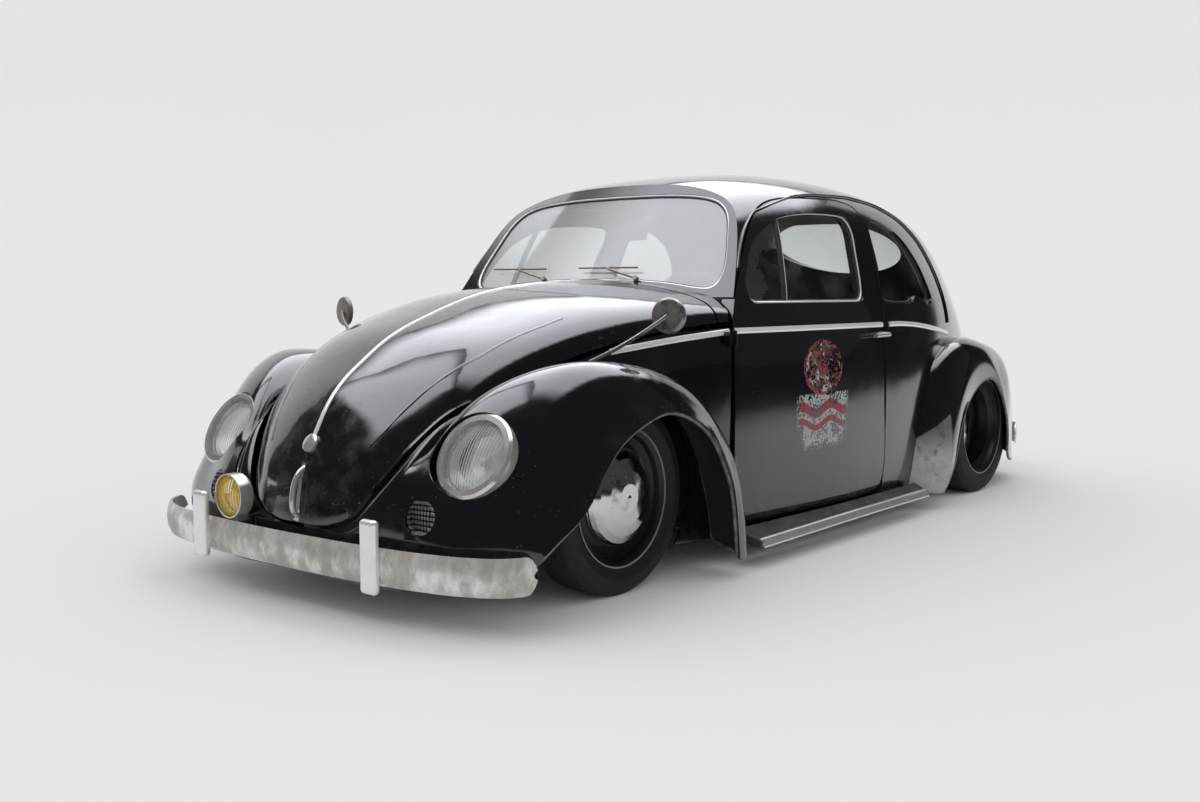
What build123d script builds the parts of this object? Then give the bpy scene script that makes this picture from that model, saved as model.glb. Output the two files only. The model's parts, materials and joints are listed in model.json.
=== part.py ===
"""Rounded two-door compact car, lowered on its wheels, as an assembly of separate solids.

Frame: +X to the nose, +Y to the car's left, +Z up. Origin on the floor under the middle of the car.
All lengths are in millimetres. Every file in parts/ is one sub-part, named after its node.
"""
from build123d import *
import math
import os

import numpy as np

# ---------------------------------------------------------------- driving dimensions
FRONT_AXLE_X = 1293.0          # wheelbase 2400
REAR_AXLE_X = -1107.0
TYRE_RADIUS = 283.0
FRONT_WHEEL_Y = 553.0          # middle plane of a front wheel
REAR_WHEEL_Y = 624.0
FRONT_TYRE_WIDTH = 148.0
REAR_TYRE_WIDTH = 166.0
RIM_RADIUS = 204.0             # over the rim's lip
FRONT_RIM_WIDTH = 124.0
REAR_RIM_WIDTH = 158.0
HUBCAP_RADIUS = 140.0

SILL_Z = 95.0                  # lower edge of the body sides
BELT_Z = 745.0                 # height of the waist moulding
BELT_HALF = 684.0              # widest half width at the waist
DOOR_FRONT_X = 775.0
FENDER_HALF = 768.0            # half width over the fenders' lips
BUMPER_X = 2035.0              # bumper face, front and rear

BODY_WALL = 30.0               # roof, pillars and quarters with their lining
DOOR_WALL = 44.0
SHEET = 6.0                    # fenders, apron and bumper blades
HOOD_WALL = 12.0
GLASS = 5.0
SHUT_GAP = 6.0                 # all round doors and lids
SEAT_GAP = 0.3
SEAM_GAP = 0.9
PANE_GAP = 0.8                 # between pieces that rest on each other
KINGPIN_Y = 448.0
STEER_GAP = 8.0

os.makedirs("parts", exist_ok=True)


# ---------------------------------------------------------------- curves and panels
def spline(knots, v):
    """Natural cubic spline through rows (v, a, b, ...), read at v."""
    rows = np.array(knots, float)
    x, y = rows[:, 0], rows[:, 1:]
    count = len(x)
    step = np.diff(x)
    matrix = np.eye(count)
    right = np.zeros_like(y)
    for i in range(1, count - 1):
        matrix[i, i - 1 : i + 2] = step[i - 1], 2 * (step[i - 1] + step[i]), step[i]
        right[i] = 6 * ((y[i + 1] - y[i]) / step[i] - (y[i] - y[i - 1]) / step[i - 1])
    bend = np.linalg.solve(matrix, right)
    i = int(np.clip(np.searchsorted(x, v) - 1, 0, count - 2))
    a, b = (x[i + 1] - v) / step[i], (v - x[i]) / step[i]
    curve = ((a**3 - a) * bend[i] + (b**3 - b) * bend[i + 1]) * step[i] ** 2 / 6
    return a * y[i] + b * y[i + 1] + curve


def span(start, end, count):
    return [start + (end - start) * i / (count - 1) for i in range(count)]


def skin(point, us, vs, depth, lift=0.0, outward=1):
    """Panel between the surface point(u, v) and the same surface set back by depth."""
    outer = [[np.array(point(u, v), float) for v in vs] for u in us]
    rows, cols = len(us), len(vs)
    top, under = [], []
    for i in range(rows):
        top_row, under_row = [], []
        for j in range(cols):
            along = outer[min(i + 1, rows - 1)][j] - outer[max(i - 1, 0)][j]
            across = outer[i][min(j + 1, cols - 1)] - outer[i][max(j - 1, 0)]
            normal = np.cross(along, across) * outward
            normal /= np.linalg.norm(normal)
            top_row.append(Vector(*(outer[i][j] + normal * lift)))
            under_row.append(Vector(*(outer[i][j] + normal * (lift - depth))))
        top.append(top_row)
        under.append(under_row)
    outer_face, inner_face = sheet(top), sheet(under)
    faces = [outer_face, inner_face]
    inner_edges = inner_face.edges()
    for edge in outer_face.edges():
        partner = min(inner_edges, key=lambda e: (e @ 0.5 - edge @ 0.5).length)
        faces.append(Face.make_surface_from_curves(edge, partner))
    return Solid(Shell(faces)).fix()


def sheet(rows):
    return Face.make_surface_from_array_of_points(rows, tol=0.3, min_deg=3, max_deg=3)


def mirrored(shape):
    return shape.mirror(Plane.XZ)


def smooth_face(*groups):
    """Closed flat face from groups of points: two points give a line, more give a spline."""
    edges = []
    for i, group in enumerate(groups):
        points = [Vector(*p) for p in group]
        edges.append(Edge.make_line(*points) if len(points) == 2 else Edge.make_spline(points))
        following = Vector(*groups[(i + 1) % len(groups)][0])
        if (following - points[-1]).length > 1e-6:
            edges.append(Edge.make_line(points[-1], following))
    return Face(Wire(edges))


def through_y(face, y0, y1):
    """Solid along Y over an outline drawn in (x, z)."""
    plane = Plane((0, y1, 0), x_dir=(1, 0, 0), z_dir=(0, -1, 0))
    return Solid.extrude(plane * face, Vector(0, y0 - y1, 0))


def through_x(face, x0, x1):
    """Solid along X over an outline drawn in (y, z)."""
    plane = Plane((x0, 0, 0), x_dir=(0, 1, 0), z_dir=(1, 0, 0))
    return Solid.extrude(plane * face, Vector(x1 - x0, 0, 0))


def resized(face, amount):
    """Flat outline grown, or shrunk where amount is negative."""
    moved = offset(face, amount=amount, kind=Kind.ARC).faces()[0]
    edges = []
    for edge in moved.outer_wire().order_edges():
        if edge.geom_type in (GeomType.LINE, GeomType.CIRCLE):
            edges.append(edge)
        else:
            points = [edge @ t for t in span(0, 1, max(8, int(edge.length / 20)))]
            closed = (points[0] - points[-1]).length < 0.01
            edges.append(Edge.make_spline(points[:-1] if closed else points, periodic=closed))
    return Face(Wire(edges))


def block(x0, x1, y0, y1, z0, z1):
    return Pos((x0 + x1) / 2, (y0 + y1) / 2, (z0 + z1) / 2) * Box(x1 - x0, y1 - y0, z1 - z0)


def rounded_block(x0, x1, y0, y1, z0, z1, radius):
    return fillet(block(x0, x1, y0, y1, z0, z1).edges(), radius)


def rod(start, end, radius):
    """Round bar between two points."""
    a, b = Vector(*start), Vector(*end)
    return Solid.make_cylinder(radius, (b - a).length, Plane(a, z_dir=b - a))


def only(shape):
    """Largest solid of a cut result."""
    return max(shape.solids(), key=lambda s: s.volume)


# ---------------------------------------------------------------- cabin surface
ROOF_LINE = [
    (-1775, 330), (-1740, 450), (-1650, 625), (-1500, 795), (-1300, 960), (-1100, 1085), (-900, 1178),
    (-700, 1240), (-400, 1290), (-50, 1308), (250, 1293), (500, 1245), (700, 1165), (800, 1105),
]
# x, half width, height of the widest line
WAIST = [
    (-1775, 215, 200), (-1700, 300, 300), (-1600, 375, 400), (-1400, 480, 560), (-1200, 555, 670),
    (-1000, 607, 725), (-800, 646, 745), (-500, 677, 745), (-185, 684, 745), (150, 680, 745),
    (450, 665, 745), (775, 641, 745), (800, 638, 745),
]
# share of the width and of the height over the waist, from waist to roof centre
UPPER_SECTION = [
    (0, 1.0, 0.0), (1, 0.972, 0.2), (2, 0.925, 0.4), (3, 0.868, 0.6), (4, 0.80, 0.77), (5, 0.725, 0.86),
    (6, 0.60, 0.93), (7, 0.42, 0.975), (8, 0.22, 0.995), (9, 0, 1.0),
]
LOWER_SECTION = [(0, -12, SILL_Z), (1, 2, 200), (2, 8, 400), (3, 7, 600), (4, 0, BELT_Z)]
SCREEN_BASE_X, SCREEN_BASE_Z = 723.0, 872.0
SCREEN_TILT = 31.0
BODY_REAR_X = -1775.0
BODY_FRONT_X = DOOR_FRONT_X + SHUT_GAP


def cabin(x, s):
    """Body surface: s runs 0 left sill, 1 left waist, 2 roof centre, 3 right waist, 4 right sill."""
    side = 1 if s <= 2 else -1
    s = min(s, 4 - s)
    half, waist_z = spline(WAIST, x)
    roof_z = spline(ROOF_LINE, x)[0]
    if s <= 1:
        bulge, z = spline(LOWER_SECTION, 4 * s)
        y = half + bulge * half / BELT_HALF
        z = SILL_Z + (z - SILL_Z) * (waist_z - SILL_Z) / (BELT_Z - SILL_Z)
    else:
        width, height = spline(UPPER_SECTION, 9 * (s - 1))
        y, z = half * width, waist_z + (roof_z - waist_z) * height
    return x, y * side, z


def body_stations(x0, x1):
    """X stations, closer together towards the tail."""
    marks = [-1762, -1735, -1690, -1620, -1530, -1420, -1300, -1170, -1030, -880, -720, -550, -370, -180, 10,
             200, 380, 540, 670]
    return [x0] + [m for m in marks if x0 + 25 < m < x1 - 25] + [x1]


# ---------------------------------------------------------------- outlines, drawn in (x, z) or (y, z)
def door_outline():
    return smooth_face(
        [(DOOR_FRONT_X - 3, 170), (DOOR_FRONT_X, 745)],
        [(DOOR_FRONT_X, 745), (762, 800), (705, 895), (640, 980), (531, 1098), (455, 1148), (360, 1180), (213, 1197),
         (5, 1203), (-150, 1195), (-205, 1172), (-224, 1130), (-226, 1033), (-205, 905), (-180, 768)],
        [(-180, 768), (-182, 690), (-192, 400), (-200, 200), (-185, 150), (-140, 125)],
        [(-140, 125), (700, 118)],
        [(700, 118), (755, 132), (DOOR_FRONT_X - 3, 170)],
    )


def door_window_outline():
    return smooth_face(
        [(-25, 829), (617, 829)],
        [(617, 829), (652, 842), (660, 878), (621, 951), (554, 1030), (492, 1066), (404, 1104), (309, 1126),
         (78, 1143), (-50, 1141), (-97, 1128), (-112, 1085), (-102, 1045), (-76, 939), (-58, 862), (-48, 838),
         (-25, 829)],
    )


def quarter_window_outline():
    return smooth_face(
        [(-469, 815), (-230, 821)],
        [(-230, 821), (-209, 836), (-211, 903), (-235, 1041), (-255, 1115), (-290, 1136), (-401, 1127), (-470, 1102),
         (-542, 1063), (-597, 1013), (-637, 959), (-672, 880), (-684, 838), (-668, 818), (-620, 815), (-469, 815)],
    )


def screen_outline():
    """Windscreen opening in the screen's own plane, as (y, height along the glass)."""
    half = [(0, 40), (215, 37), (400, 18), (490, 6), (532, 14), (547, 50), (540, 130), (517, 212), (490, 290),
            (440, 345), (370, 370), (280, 383), (150, 390), (0, 392)]
    other = [(-y, h) for y, h in reversed(half)]
    return smooth_face(half, other)


def rear_window_outline():
    return Face(Wire.make_ellipse(320, 112, Plane((0, 1062, 0))))


def engine_lid_outline():
    half = [(0, 352), (150, 356), (255, 385), (315, 455), (330, 540), (310, 620), (235, 685), (110, 712), (0, 716)]
    return smooth_face(half, [(-y, z) for y, z in reversed(half)])


def screen_plane(lift=0.0):
    tilt = math.radians(SCREEN_TILT)
    normal = Vector(math.cos(tilt), 0, math.sin(tilt))
    return Plane(Vector(SCREEN_BASE_X, 0, SCREEN_BASE_Z) + normal * lift, x_dir=(0, 1, 0), z_dir=normal)


def screen_prism(face, reach):
    plane = screen_plane(-reach)
    return Solid.extrude(plane * face, plane.z_dir * (2 * reach))


# ---------------------------------------------------------------- nose surface
# stations from the screen round the hood to the tip: centre, shoulder, hood edge, body side, lower edge
NOSE = [
    ((700, 0, 897), (705, 510, 846), (700, 634, 772), (700, 654, 640), (700, 632, 95)),
    ((795, 0, 893), (815, 500, 843), (828, 610, 766), (830, 638, 640), (830, 622, 95)),
    ((960, 0, 884), (955, 478, 833), (930, 585, 757), (932, 613, 640), (935, 598, 95)),
    ((1100, 0, 872), (1090, 455, 820), (1060, 553, 744), (1062, 578, 630), (1065, 575, 95)),
    ((1260, 0, 846), (1240, 425, 797), (1220, 515, 716), (1222, 540, 600), (1230, 540, 95)),
    ((1430, 0, 797), (1400, 394, 754), (1370, 475, 679), (1378, 500, 560), (1390, 500, 95)),
    ((1600, 0, 733), (1560, 359, 697), (1528, 440, 622), (1545, 465, 510), (1565, 465, 95)),
    ((1715, 0, 662), (1690, 315, 627), (1655, 405, 577), (1690, 432, 470), (1720, 432, 95)),
    ((1788, 0, 608), (1755, 284, 575), (1726, 376, 545), (1770, 405, 455), (1800, 412, 95)),
    ((1845, 0, 541), (1812, 257, 518), (1785, 345, 494), (1830, 388, 430), (1860, 398, 95)),
    ((1884, 0, 472), (1862, 224, 458), (1835, 311, 436), (1880, 370, 385), (1905, 385, 95)),
    ((1916, 0, 412), (1901, 195, 401), (1878, 276, 374), (1917, 336, 337), (1930, 352, 95)),
    ((1935, 0, 355), (1922, 176, 345), (1906, 249, 332), (1938, 300, 292), (1938, 306, 95)),
    ((1946, 0, 300), (1936, 160, 291), (1922, 222, 294), (1946, 248, 250), (1940, 248, 95)),
    ((1951, 0, 240), (1944, 120, 245), (1932, 186, 266), (1947, 188, 215), (1940, 188, 95)),
    ((1951, 0, 240), (1950, 45, 241), (1944, 100, 244), (1948, 100, 192), (1940, 100, 95)),
    ((1951, 0, 240), (1951, 0, 240), (1951, 0, 240), (1949, 0, 187), (1941, 0, 95)),
]
NOSE_ROWS = [(i,) + tuple(c for p in row for c in p) for i, row in enumerate(NOSE)]
HOOD_REAR, HOOD_TIP = 1, 14
NOSE_END = len(NOSE) - 1


def nose(t, a):
    """Nose surface: a runs 0 centre line, 2 hood edge, 4 lower edge; negative a is the right side."""
    row = spline(NOSE_ROWS, t).reshape(5, 3)
    knots = [(-1, row[1][0], -row[1][1], row[1][2])] + [(k,) + tuple(row[k]) for k in range(5)]
    x, y, z = spline(knots, abs(a))
    return x, math.copysign(y, a) if a else 0.0, z


def nose_side(t, a):
    """Body side and apron, from the left door round the tip to the right door."""
    if t <= NOSE_END:
        return nose_flank(t, a)
    x, y, z = nose_flank(2 * NOSE_END - t, a)
    return x, -y, z


def nose_flank(t, a):
    row = spline(NOSE_ROWS, t).reshape(5, 3)
    x, y, z = spline([(k,) + tuple(row[k]) for k in (2, 3, 4)], a)
    return x, y, z


# ---------------------------------------------------------------- fender surfaces
# stations from the front foot over the wheel to the rear foot: body seam, rise, crown, outer wall, lip
FRONT_FENDER = [
    ((1925, 345, 140), (1912, 450, 135), (1882, 570, 135), (1837, 680, 150), (1790, 745, 200)),
    ((1930, 352, 250), (1917, 455, 245), (1884, 575, 245), (1837, 695, 245), (1740, 762, 246)),
    ((1905, 372, 357), (1890, 450, 350), (1850, 565, 345), (1800, 690, 330), (1650, 766, 300)),
    ((1855, 388, 426), (1842, 450, 440), (1795, 560, 450), (1735, 690, 430), (1586, 768, 378)),
    ((1790, 400, 480), (1782, 440, 520), (1735, 560, 555), (1650, 695, 535), (1491, 768, 468)),
    ((1700, 425, 545), (1690, 470, 600), (1640, 580, 632), (1560, 705, 610), (1377, 768, 517)),
    ((1560, 460, 605), (1550, 520, 650), (1520, 610, 672), (1460, 710, 645), (1295, 768, 535)),
    ((1400, 492, 635), (1395, 555, 664), (1380, 630, 668), (1330, 715, 640), (1199, 768, 519)),
    ((1240, 530, 625), (1235, 585, 644), (1225, 645, 640), (1190, 720, 605), (1083, 768, 458)),
    ((1110, 562, 570), (1105, 610, 585), (1095, 660, 578), (1075, 728, 540), (1010, 768, 370)),
    ((1010, 590, 490), (1005, 630, 500), (998, 675, 490), (985, 735, 450), (965, 768, 290)),
    ((940, 608, 390), (936, 645, 395), (930, 690, 385), (925, 745, 350), (945, 769, 200)),
    ((880, 625, 230), (878, 660, 230), (876, 700, 225), (884, 752, 200), (935, 769, 120)),
    ((850, 625, 85), (850, 660, 80), (850, 705, 70), (862, 750, 58), (925, 766, 60)),
]
REAR_FENDER = [
    ((-470, 672, 75), (-500, 715, 72), (-530, 745, 70), (-560, 762, 70), (-600, 755, 72)),
    ((-455, 680, 150), (-500, 722, 150), (-545, 752, 150), (-600, 768, 150), (-700, 750, 152)),
    ((-480, 684, 270), (-530, 726, 275), (-585, 755, 280), (-660, 770, 280), (-755, 748, 268)),
    ((-520, 682, 390), (-575, 724, 405), (-640, 752, 415), (-720, 767, 415), (-825, 745, 385)),
    ((-580, 680, 500), (-640, 718, 525), (-720, 744, 538), (-810, 757, 520), (-945, 742, 468)),
    ((-660, 672, 590), (-720, 708, 615), (-800, 732, 622), (-900, 748, 590), (-1080, 740, 498)),
    ((-790, 650, 650), (-850, 690, 665), (-930, 715, 655), (-1040, 740, 600), (-1190, 738, 455)),
    ((-960, 612, 668), (-1010, 655, 672), (-1090, 692, 645), (-1180, 724, 580), (-1265, 742, 352)),
    ((-1130, 562, 650), (-1180, 605, 648), (-1250, 655, 612), (-1320, 712, 530), (-1310, 739, 240)),
    ((-1290, 500, 600), (-1340, 550, 590), (-1400, 615, 540), (-1430, 690, 450), (-1330, 731, 150)),
    ((-1430, 430, 520), (-1480, 490, 505), (-1530, 570, 450), (-1530, 658, 360), (-1400, 714, 112)),
    ((-1550, 370, 430), (-1600, 440, 400), (-1640, 530, 340), (-1620, 620, 270), (-1500, 684, 102)),
    ((-1640, 330, 320), (-1690, 410, 280), (-1710, 500, 230), (-1690, 590, 180), (-1600, 642, 100)),
    ((-1690, 300, 180), (-1725, 380, 150), (-1735, 470, 130), (-1715, 560, 112), (-1660, 612, 98)),
]


def fender(stations):
    """Surface over one wheel: u along the stations, v from the body seam (0) to the lip (4)."""
    rows = [(i,) + tuple(c for p in row for c in p) for i, row in enumerate(stations)]

    def point(u, v):
        row = spline(rows, u).reshape(5, 3)
        return spline([(k,) + tuple(row[k]) for k in range(5)], v)

    return point


# ---------------------------------------------------------------- body shell
def body_volume():
    """Closed volume under the cabin surface."""
    grid = [[Vector(*cabin(x, s)) for s in span(0, 4, 33)] for x in body_stations(BODY_REAR_X, BODY_FRONT_X)]
    outer = sheet(grid)
    edges = outer.edges()
    ends = []
    for x in (BODY_REAR_X, BODY_FRONT_X):
        arch = min(edges, key=lambda e: abs((e @ 0.5).X - x) + abs((e @ 0).X - x) + abs((e @ 1).X - x))
        ends.append(Face(Wire([arch, Edge.make_line(arch @ 1, arch @ 0)])))
    sills = [min(edges, key=lambda e: abs((e @ 0.5).Y - y)) for y in (700, -700)]
    corners = [e.edges().sort_by(Axis.Z)[0] for e in ends]
    floor = Face(Wire([sills[0], sills[1]] + corners))
    return Solid(Shell([outer, floor] + ends)).fix()


def body_shell():
    return skin(cabin, body_stations(BODY_REAR_X, BODY_FRONT_X), span(0, 4, 33), BODY_WALL, outward=-1)


def under_cowl():
    """Everything below the cowl surface, between the hood edges' lines."""
    grid = [[Vector(*nose(t, a)) for a in span(-2, 2, 25)] for t in span(-0.5, 1.6, 8)]
    return Solid.extrude(sheet(grid), Vector(0, 0, -900)).fix()


def beside_nose():
    """The left body side's flank, filled inward to trim what meets it."""
    grid = [[Vector(*nose_flank(t, a)) for a in span(1.75, 4.1, 14)] for t in span(0.3, 13.2, 40)]
    return Solid.extrude(sheet(grid), Vector(0, -330, 0)).fix()


def behind_screen(set_back, reach=900):
    """Everything behind the windscreen's plane, moved back by set_back."""
    return screen_plane(-set_back) * (Pos(0, 0, -reach / 2) * Box(2400, 2400, reach))


def wheel_wells(x, radius, y_in):
    tub = Solid.make_cylinder(radius, 500, Plane((x, y_in, TYRE_RADIUS), z_dir=(0, 1, 0)))
    return tub, mirrored(tub)


NODES = {}


def keep(name, *shapes):
    solids = [s for shape in shapes for s in shape.solids()]
    NODES[name] = solids
    export_step(solids[0] if len(solids) == 1 else Compound(children=solids), f"parts/{name}.step")


FRONT_WELL = 345.0
REAR_WELL = 330.0
FRONT_WELL_Y = 343.0
REAR_WELL_Y = 470.0
ROOF_SPLIT_X = -860.0
ROOF_SPLIT_Z = 1172.0
PILLAR_SPLIT_X = -198.0
REAR_SPLIT_X = -1300.0
REAR_SPLIT_Y = 420.0
FAR = 2500.0


# ---------------------------------------------------------------- cabin panels
def build_shell():
    volume, shell = body_volume(), body_shell()
    doors = through_y(door_outline(), -900, 900)
    cowl_cut = under_cowl()

    roof = shell & block(ROOF_SPLIT_X, FAR, -FAR, FAR, 300, FAR)
    roof = roof - block(ROOF_SPLIT_X - 1, PILLAR_SPLIT_X, -FAR, FAR, 0, ROOF_SPLIT_Z)
    roof = (roof & behind_screen(0, FAR)) - doors
    frame = (volume & behind_screen(0, BODY_WALL)) - screen_prism(screen_outline(), 150)
    frame = frame & block(0, FAR, -FAR, FAR, 700, FAR)
    roof = only(roof - screen_prism(screen_outline(), 150)) + (frame - doors)
    keep("roof_shell", only(roof - cowl_cut))

    side = shell & block(REAR_SPLIT_X, PILLAR_SPLIT_X, 0, FAR, 0, ROOF_SPLIT_Z)
    side = side - block(REAR_SPLIT_X - 1, ROOF_SPLIT_X, -1, REAR_SPLIT_Y, 0, FAR)
    side = side - doors - through_y(quarter_window_outline(), 0, 900)
    side = only(side - wheel_wells(REAR_AXLE_X, REAR_WELL, REAR_WELL_Y)[0])
    keep("quarter_panel_left", side)
    keep("quarter_panel_right", mirrored(side))

    tail = shell & block(-FAR, ROOF_SPLIT_X, -FAR, FAR, 0, FAR)
    for y in (-1, 1):
        outboard = block(REAR_SPLIT_X, ROOF_SPLIT_X, *sorted((y * REAR_SPLIT_Y, y * FAR)), 0, FAR)
        tail = tail - outboard
    tail = tail - through_x(rear_window_outline(), -1900, -600)
    tail = tail - through_x(engine_lid_outline(), -1900, -1300)
    for well in wheel_wells(REAR_AXLE_X, REAR_WELL, REAR_WELL_Y):
        tail = tail - well
    apron = volume & block(BODY_REAR_X, BODY_REAR_X + SHEET, -FAR, FAR, 0, FAR)
    for y in (-TAILPIPE_Y, TAILPIPE_Y):
        hole = rod((BODY_REAR_X - 50, y, TAILPIPE_Z), (MUFFLER_X - 20, y, TAILPIPE_Z), TAILPIPE_RADIUS + 8)
        apron = apron - hole
        tail = tail - hole
    apron = apron - through_x(engine_lid_outline(), -1900, -1300)
    keep("rear_panel", only(only(tail) + only(apron)))

    strip = skin(cabin, span(PILLAR_SPLIT_X, BODY_FRONT_X, 12), span(0, 0.2, 4), BODY_WALL, outward=-1)
    strip = only(strip & block(-FAR, FAR, -FAR, FAR, 0, SILL_TOP))
    keep("sills", strip, mirrored(strip))


SILL_TOP = 111.0
TAILPIPE_Y = 190.0
TAILPIPE_Z = 96.0
TAILPIPE_RADIUS = 16.0
TIP_RADIUS = 19.0
MUFFLER_X = -1648.0
TIP_START = -1790.0
TIP_LENGTH = 110.0


def build_doors():
    stations = body_stations(-262, BODY_FRONT_X + 4)
    panel = skin(cabin, stations, span(0, 1.66, 22), DOOR_WALL, outward=-1)
    leaf = panel & through_y(resized(door_outline(), -SHUT_GAP), 0, 900)
    leaf = only(leaf - through_y(door_window_outline(), 0, 900))
    handle = door_handle()
    keep("door_left", leaf + handle)
    keep("door_right", mirrored(leaf + handle))
    pane = skin(cabin, stations, span(0.85, 1.62, 16), GLASS, lift=-14, outward=-1)
    pane = only(pane & through_y(resized(door_window_outline(), -PANE_GAP), 0, 900))
    keep("door_glass_left", pane)
    keep("door_glass_right", mirrored(pane))


def door_handle():
    """Lever on two feet, with its foot sunk to the door's skin."""
    x, y, z = cabin(HANDLE_X, 0.93)
    out = y + HANDLE_REACH
    lever = rod((x - 12, out, z), (x + 95, out, z - 2), 8)
    foot = rod((x, y - 12, z), (x, out, z), 10)
    return lever + foot


HANDLE_X = -150.0
HANDLE_REACH = 32.0


def build_glass():
    pane = behind_screen(10, GLASS) & screen_prism(resized(screen_outline(), -PANE_GAP), 120)
    keep("windscreen", only(pane))
    rear = skin(cabin, body_stations(-1500, -750), span(1.2, 2.8, 25), GLASS, lift=-10, outward=-1)
    keep("rear_window", only(rear & through_x(resized(rear_window_outline(), -PANE_GAP), -1900, -600)))
    side = skin(cabin, body_stations(-760, -180), span(0.8, 1.7, 20), GLASS, lift=-12, outward=-1)
    side = only(side & through_y(resized(quarter_window_outline(), -PANE_GAP), 0, 900))
    keep("quarter_glass", side, mirrored(side))


def build_lids():
    hood = skin(nose, span(HOOD_REAR, HOOD_TIP, 36), span(-2, 2, 25), HOOD_WALL, outward=-1)
    keep("hood", hood + hood_handle())
    lid = skin(cabin, body_stations(BODY_REAR_X + 0.5, -1400), span(0.3, 3.7, 33), HOOD_WALL, outward=-1)
    keep("engine_lid", only(lid & through_x(resized(engine_lid_outline(), -SHUT_GAP), -1900, -1300)))


def hood_handle():
    """Bowed grip that stands off the hood's tip."""
    path = Edge.make_spline([Vector(1914, 0, 392), Vector(1954, 0, 372), Vector(1976, 0, 318), Vector(1972, 0, 268),
                             Vector(1940, 0, 256)])
    return Solid.sweep(Wire.make_circle(8, Plane(path @ 0, z_dir=path % 0)), path)


# ---------------------------------------------------------------- front structure
def under_hood(drop):
    grid = [[Vector(*nose(t, a)) - Vector(drop * 0.7, 0, drop) for a in span(-2, 2, 17)]
            for t in span(0.2, HOOD_TIP - 0.5, 24)]
    return Solid.extrude(sheet(grid), Vector(0, 0, -900)).fix()


TUB_HALF = 341.0
FIREWALL_HALF = 612.0
TUB_FRONT, TUB_REAR = 1738.0, 830.0
TUB_FLOOR = 420.0
TUB_BOTTOM = 180.0
BEAM_X = 1385.0
HEAD_X = 1240.0
ENGINE_FRONT = -1232.0
ENGINE_REAR = -1590.0


def build_nose():
    cowl = skin(nose, span(-0.1, HOOD_REAR - 0.07, 6), span(-2, 2, 25), HOOD_WALL, outward=-1)
    cowl = only(cowl - behind_screen(BODY_WALL, 600))
    slab = body_volume() & behind_screen(-1, BODY_WALL + 2)
    keep("cowl", only(cowl - slab))
    flank = skin(nose_side, span(0.62, 2 * NOSE_END - 0.62, 65), span(2.36, 4, 10), SHEET, outward=1)
    for well in wheel_wells(FRONT_AXLE_X, FRONT_WELL, FRONT_WELL_Y):
        flank = flank - well
    keep("front_body", *flank.solids())

    tub = block(TUB_REAR, TUB_FRONT, -TUB_HALF, TUB_HALF, TUB_BOTTOM, 960)
    tub = tub - block(TUB_REAR + SHEET, TUB_FRONT - SHEET, SHEET - TUB_HALF, TUB_HALF - SHEET, TUB_FLOOR, 961)
    tub = tub - block(TUB_REAR + SHEET, TUB_FRONT - SHEET, SHEET - TUB_HALF, TUB_HALF - SHEET, 0, TUB_FLOOR - SHEET)
    tub = tub - block(BEAM_X - 120, BEAM_X + 80, -400, 400, 0, TUB_FLOOR - 2 * SHEET)
    tub = tub + block(TUB_REAR, TUB_REAR + SHEET, -FIREWALL_HALF, FIREWALL_HALF, 112, 960)
    tub = tub - block(TUB_REAR - 10, TUB_REAR + 10, -131, 131, 0, 150.4)
    keep("luggage_tub", only(tub & under_hood(HOOD_WALL + 20)))


def build_fenders():
    trim = beside_nose()
    front = skin(fender(FRONT_FENDER), span(0, 13, 30), span(-0.35, 4, 16), SHEET, outward=1)
    front = only(front - trim)
    front = Pos(0.8 * SEAM_GAP, 1.2 * SEAM_GAP, 0.7 * SEAM_GAP) * front
    lens_hole = lamp_axis_rod(HEADLAMP, HEADLAMP_NORMAL, RING_RADIUS + 0.4, -90, 90)
    horn_hole = lamp_axis_rod(HORN_GRILLE, HORN_NORMAL, HORN_RADIUS + 0.4, -60, 60)
    front = only(front - lens_hole - horn_hole)
    keep("fender_front_left", front)
    keep("fender_front_right", mirrored(front))
    rear = skin(fender(REAR_FENDER), span(0, 13, 30), span(-0.35, 4, 16), SHEET, outward=-1)
    rear = Pos(0, SEAM_GAP, 0) * only(rear - body_volume())
    keep("fender_rear_left", rear)
    keep("fender_rear_right", mirrored(rear))
    build_lamps(front, rear)


# ---------------------------------------------------------------- lamps, mirrors, wipers, bumpers
HEADLAMP = (1801, 530, 447)
HEADLAMP_NORMAL = (0.87, 0.06, 0.49)
LENS_RADIUS = 98.0
RING_RADIUS = 120.0
FOG_LAMP = (1996, -262, 290)
FOG_RADIUS = 64.0
HORN_GRILLE = (1902, 440, 292)
HORN_NORMAL = (0.96, 0.12, 0.18)
HORN_RADIUS = 46.0


def lamp_axis_rod(centre, normal, radius, back, front):
    axis = Vector(*normal).normalized()
    middle = Vector(*centre)
    return Solid.make_cylinder(radius, front - back, Plane(middle + axis * back, z_dir=axis))


def dome(centre, normal, radius, rise, thickness):
    """Bowed round lens: a turned cap with an even wall."""
    outer = ThreePointArc((0, 0, rise), (radius * 0.52, 0, rise * 0.76), (radius, 0, 0))
    inner = ThreePointArc((0, 0, rise - thickness), (radius * 0.52, 0, rise * 0.76 - thickness), (radius, 0, -thickness))
    ends = [Edge.make_line(outer @ 1, inner @ 1), Edge.make_line(inner @ 0, outer @ 0)]
    face = Face(Wire([outer.edge(), ends[0], inner.edge(), ends[1]]))
    cap = Solid.revolve(face, 360, Axis.Z)
    return Plane(Vector(*centre), z_dir=Vector(*normal)) * cap


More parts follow.
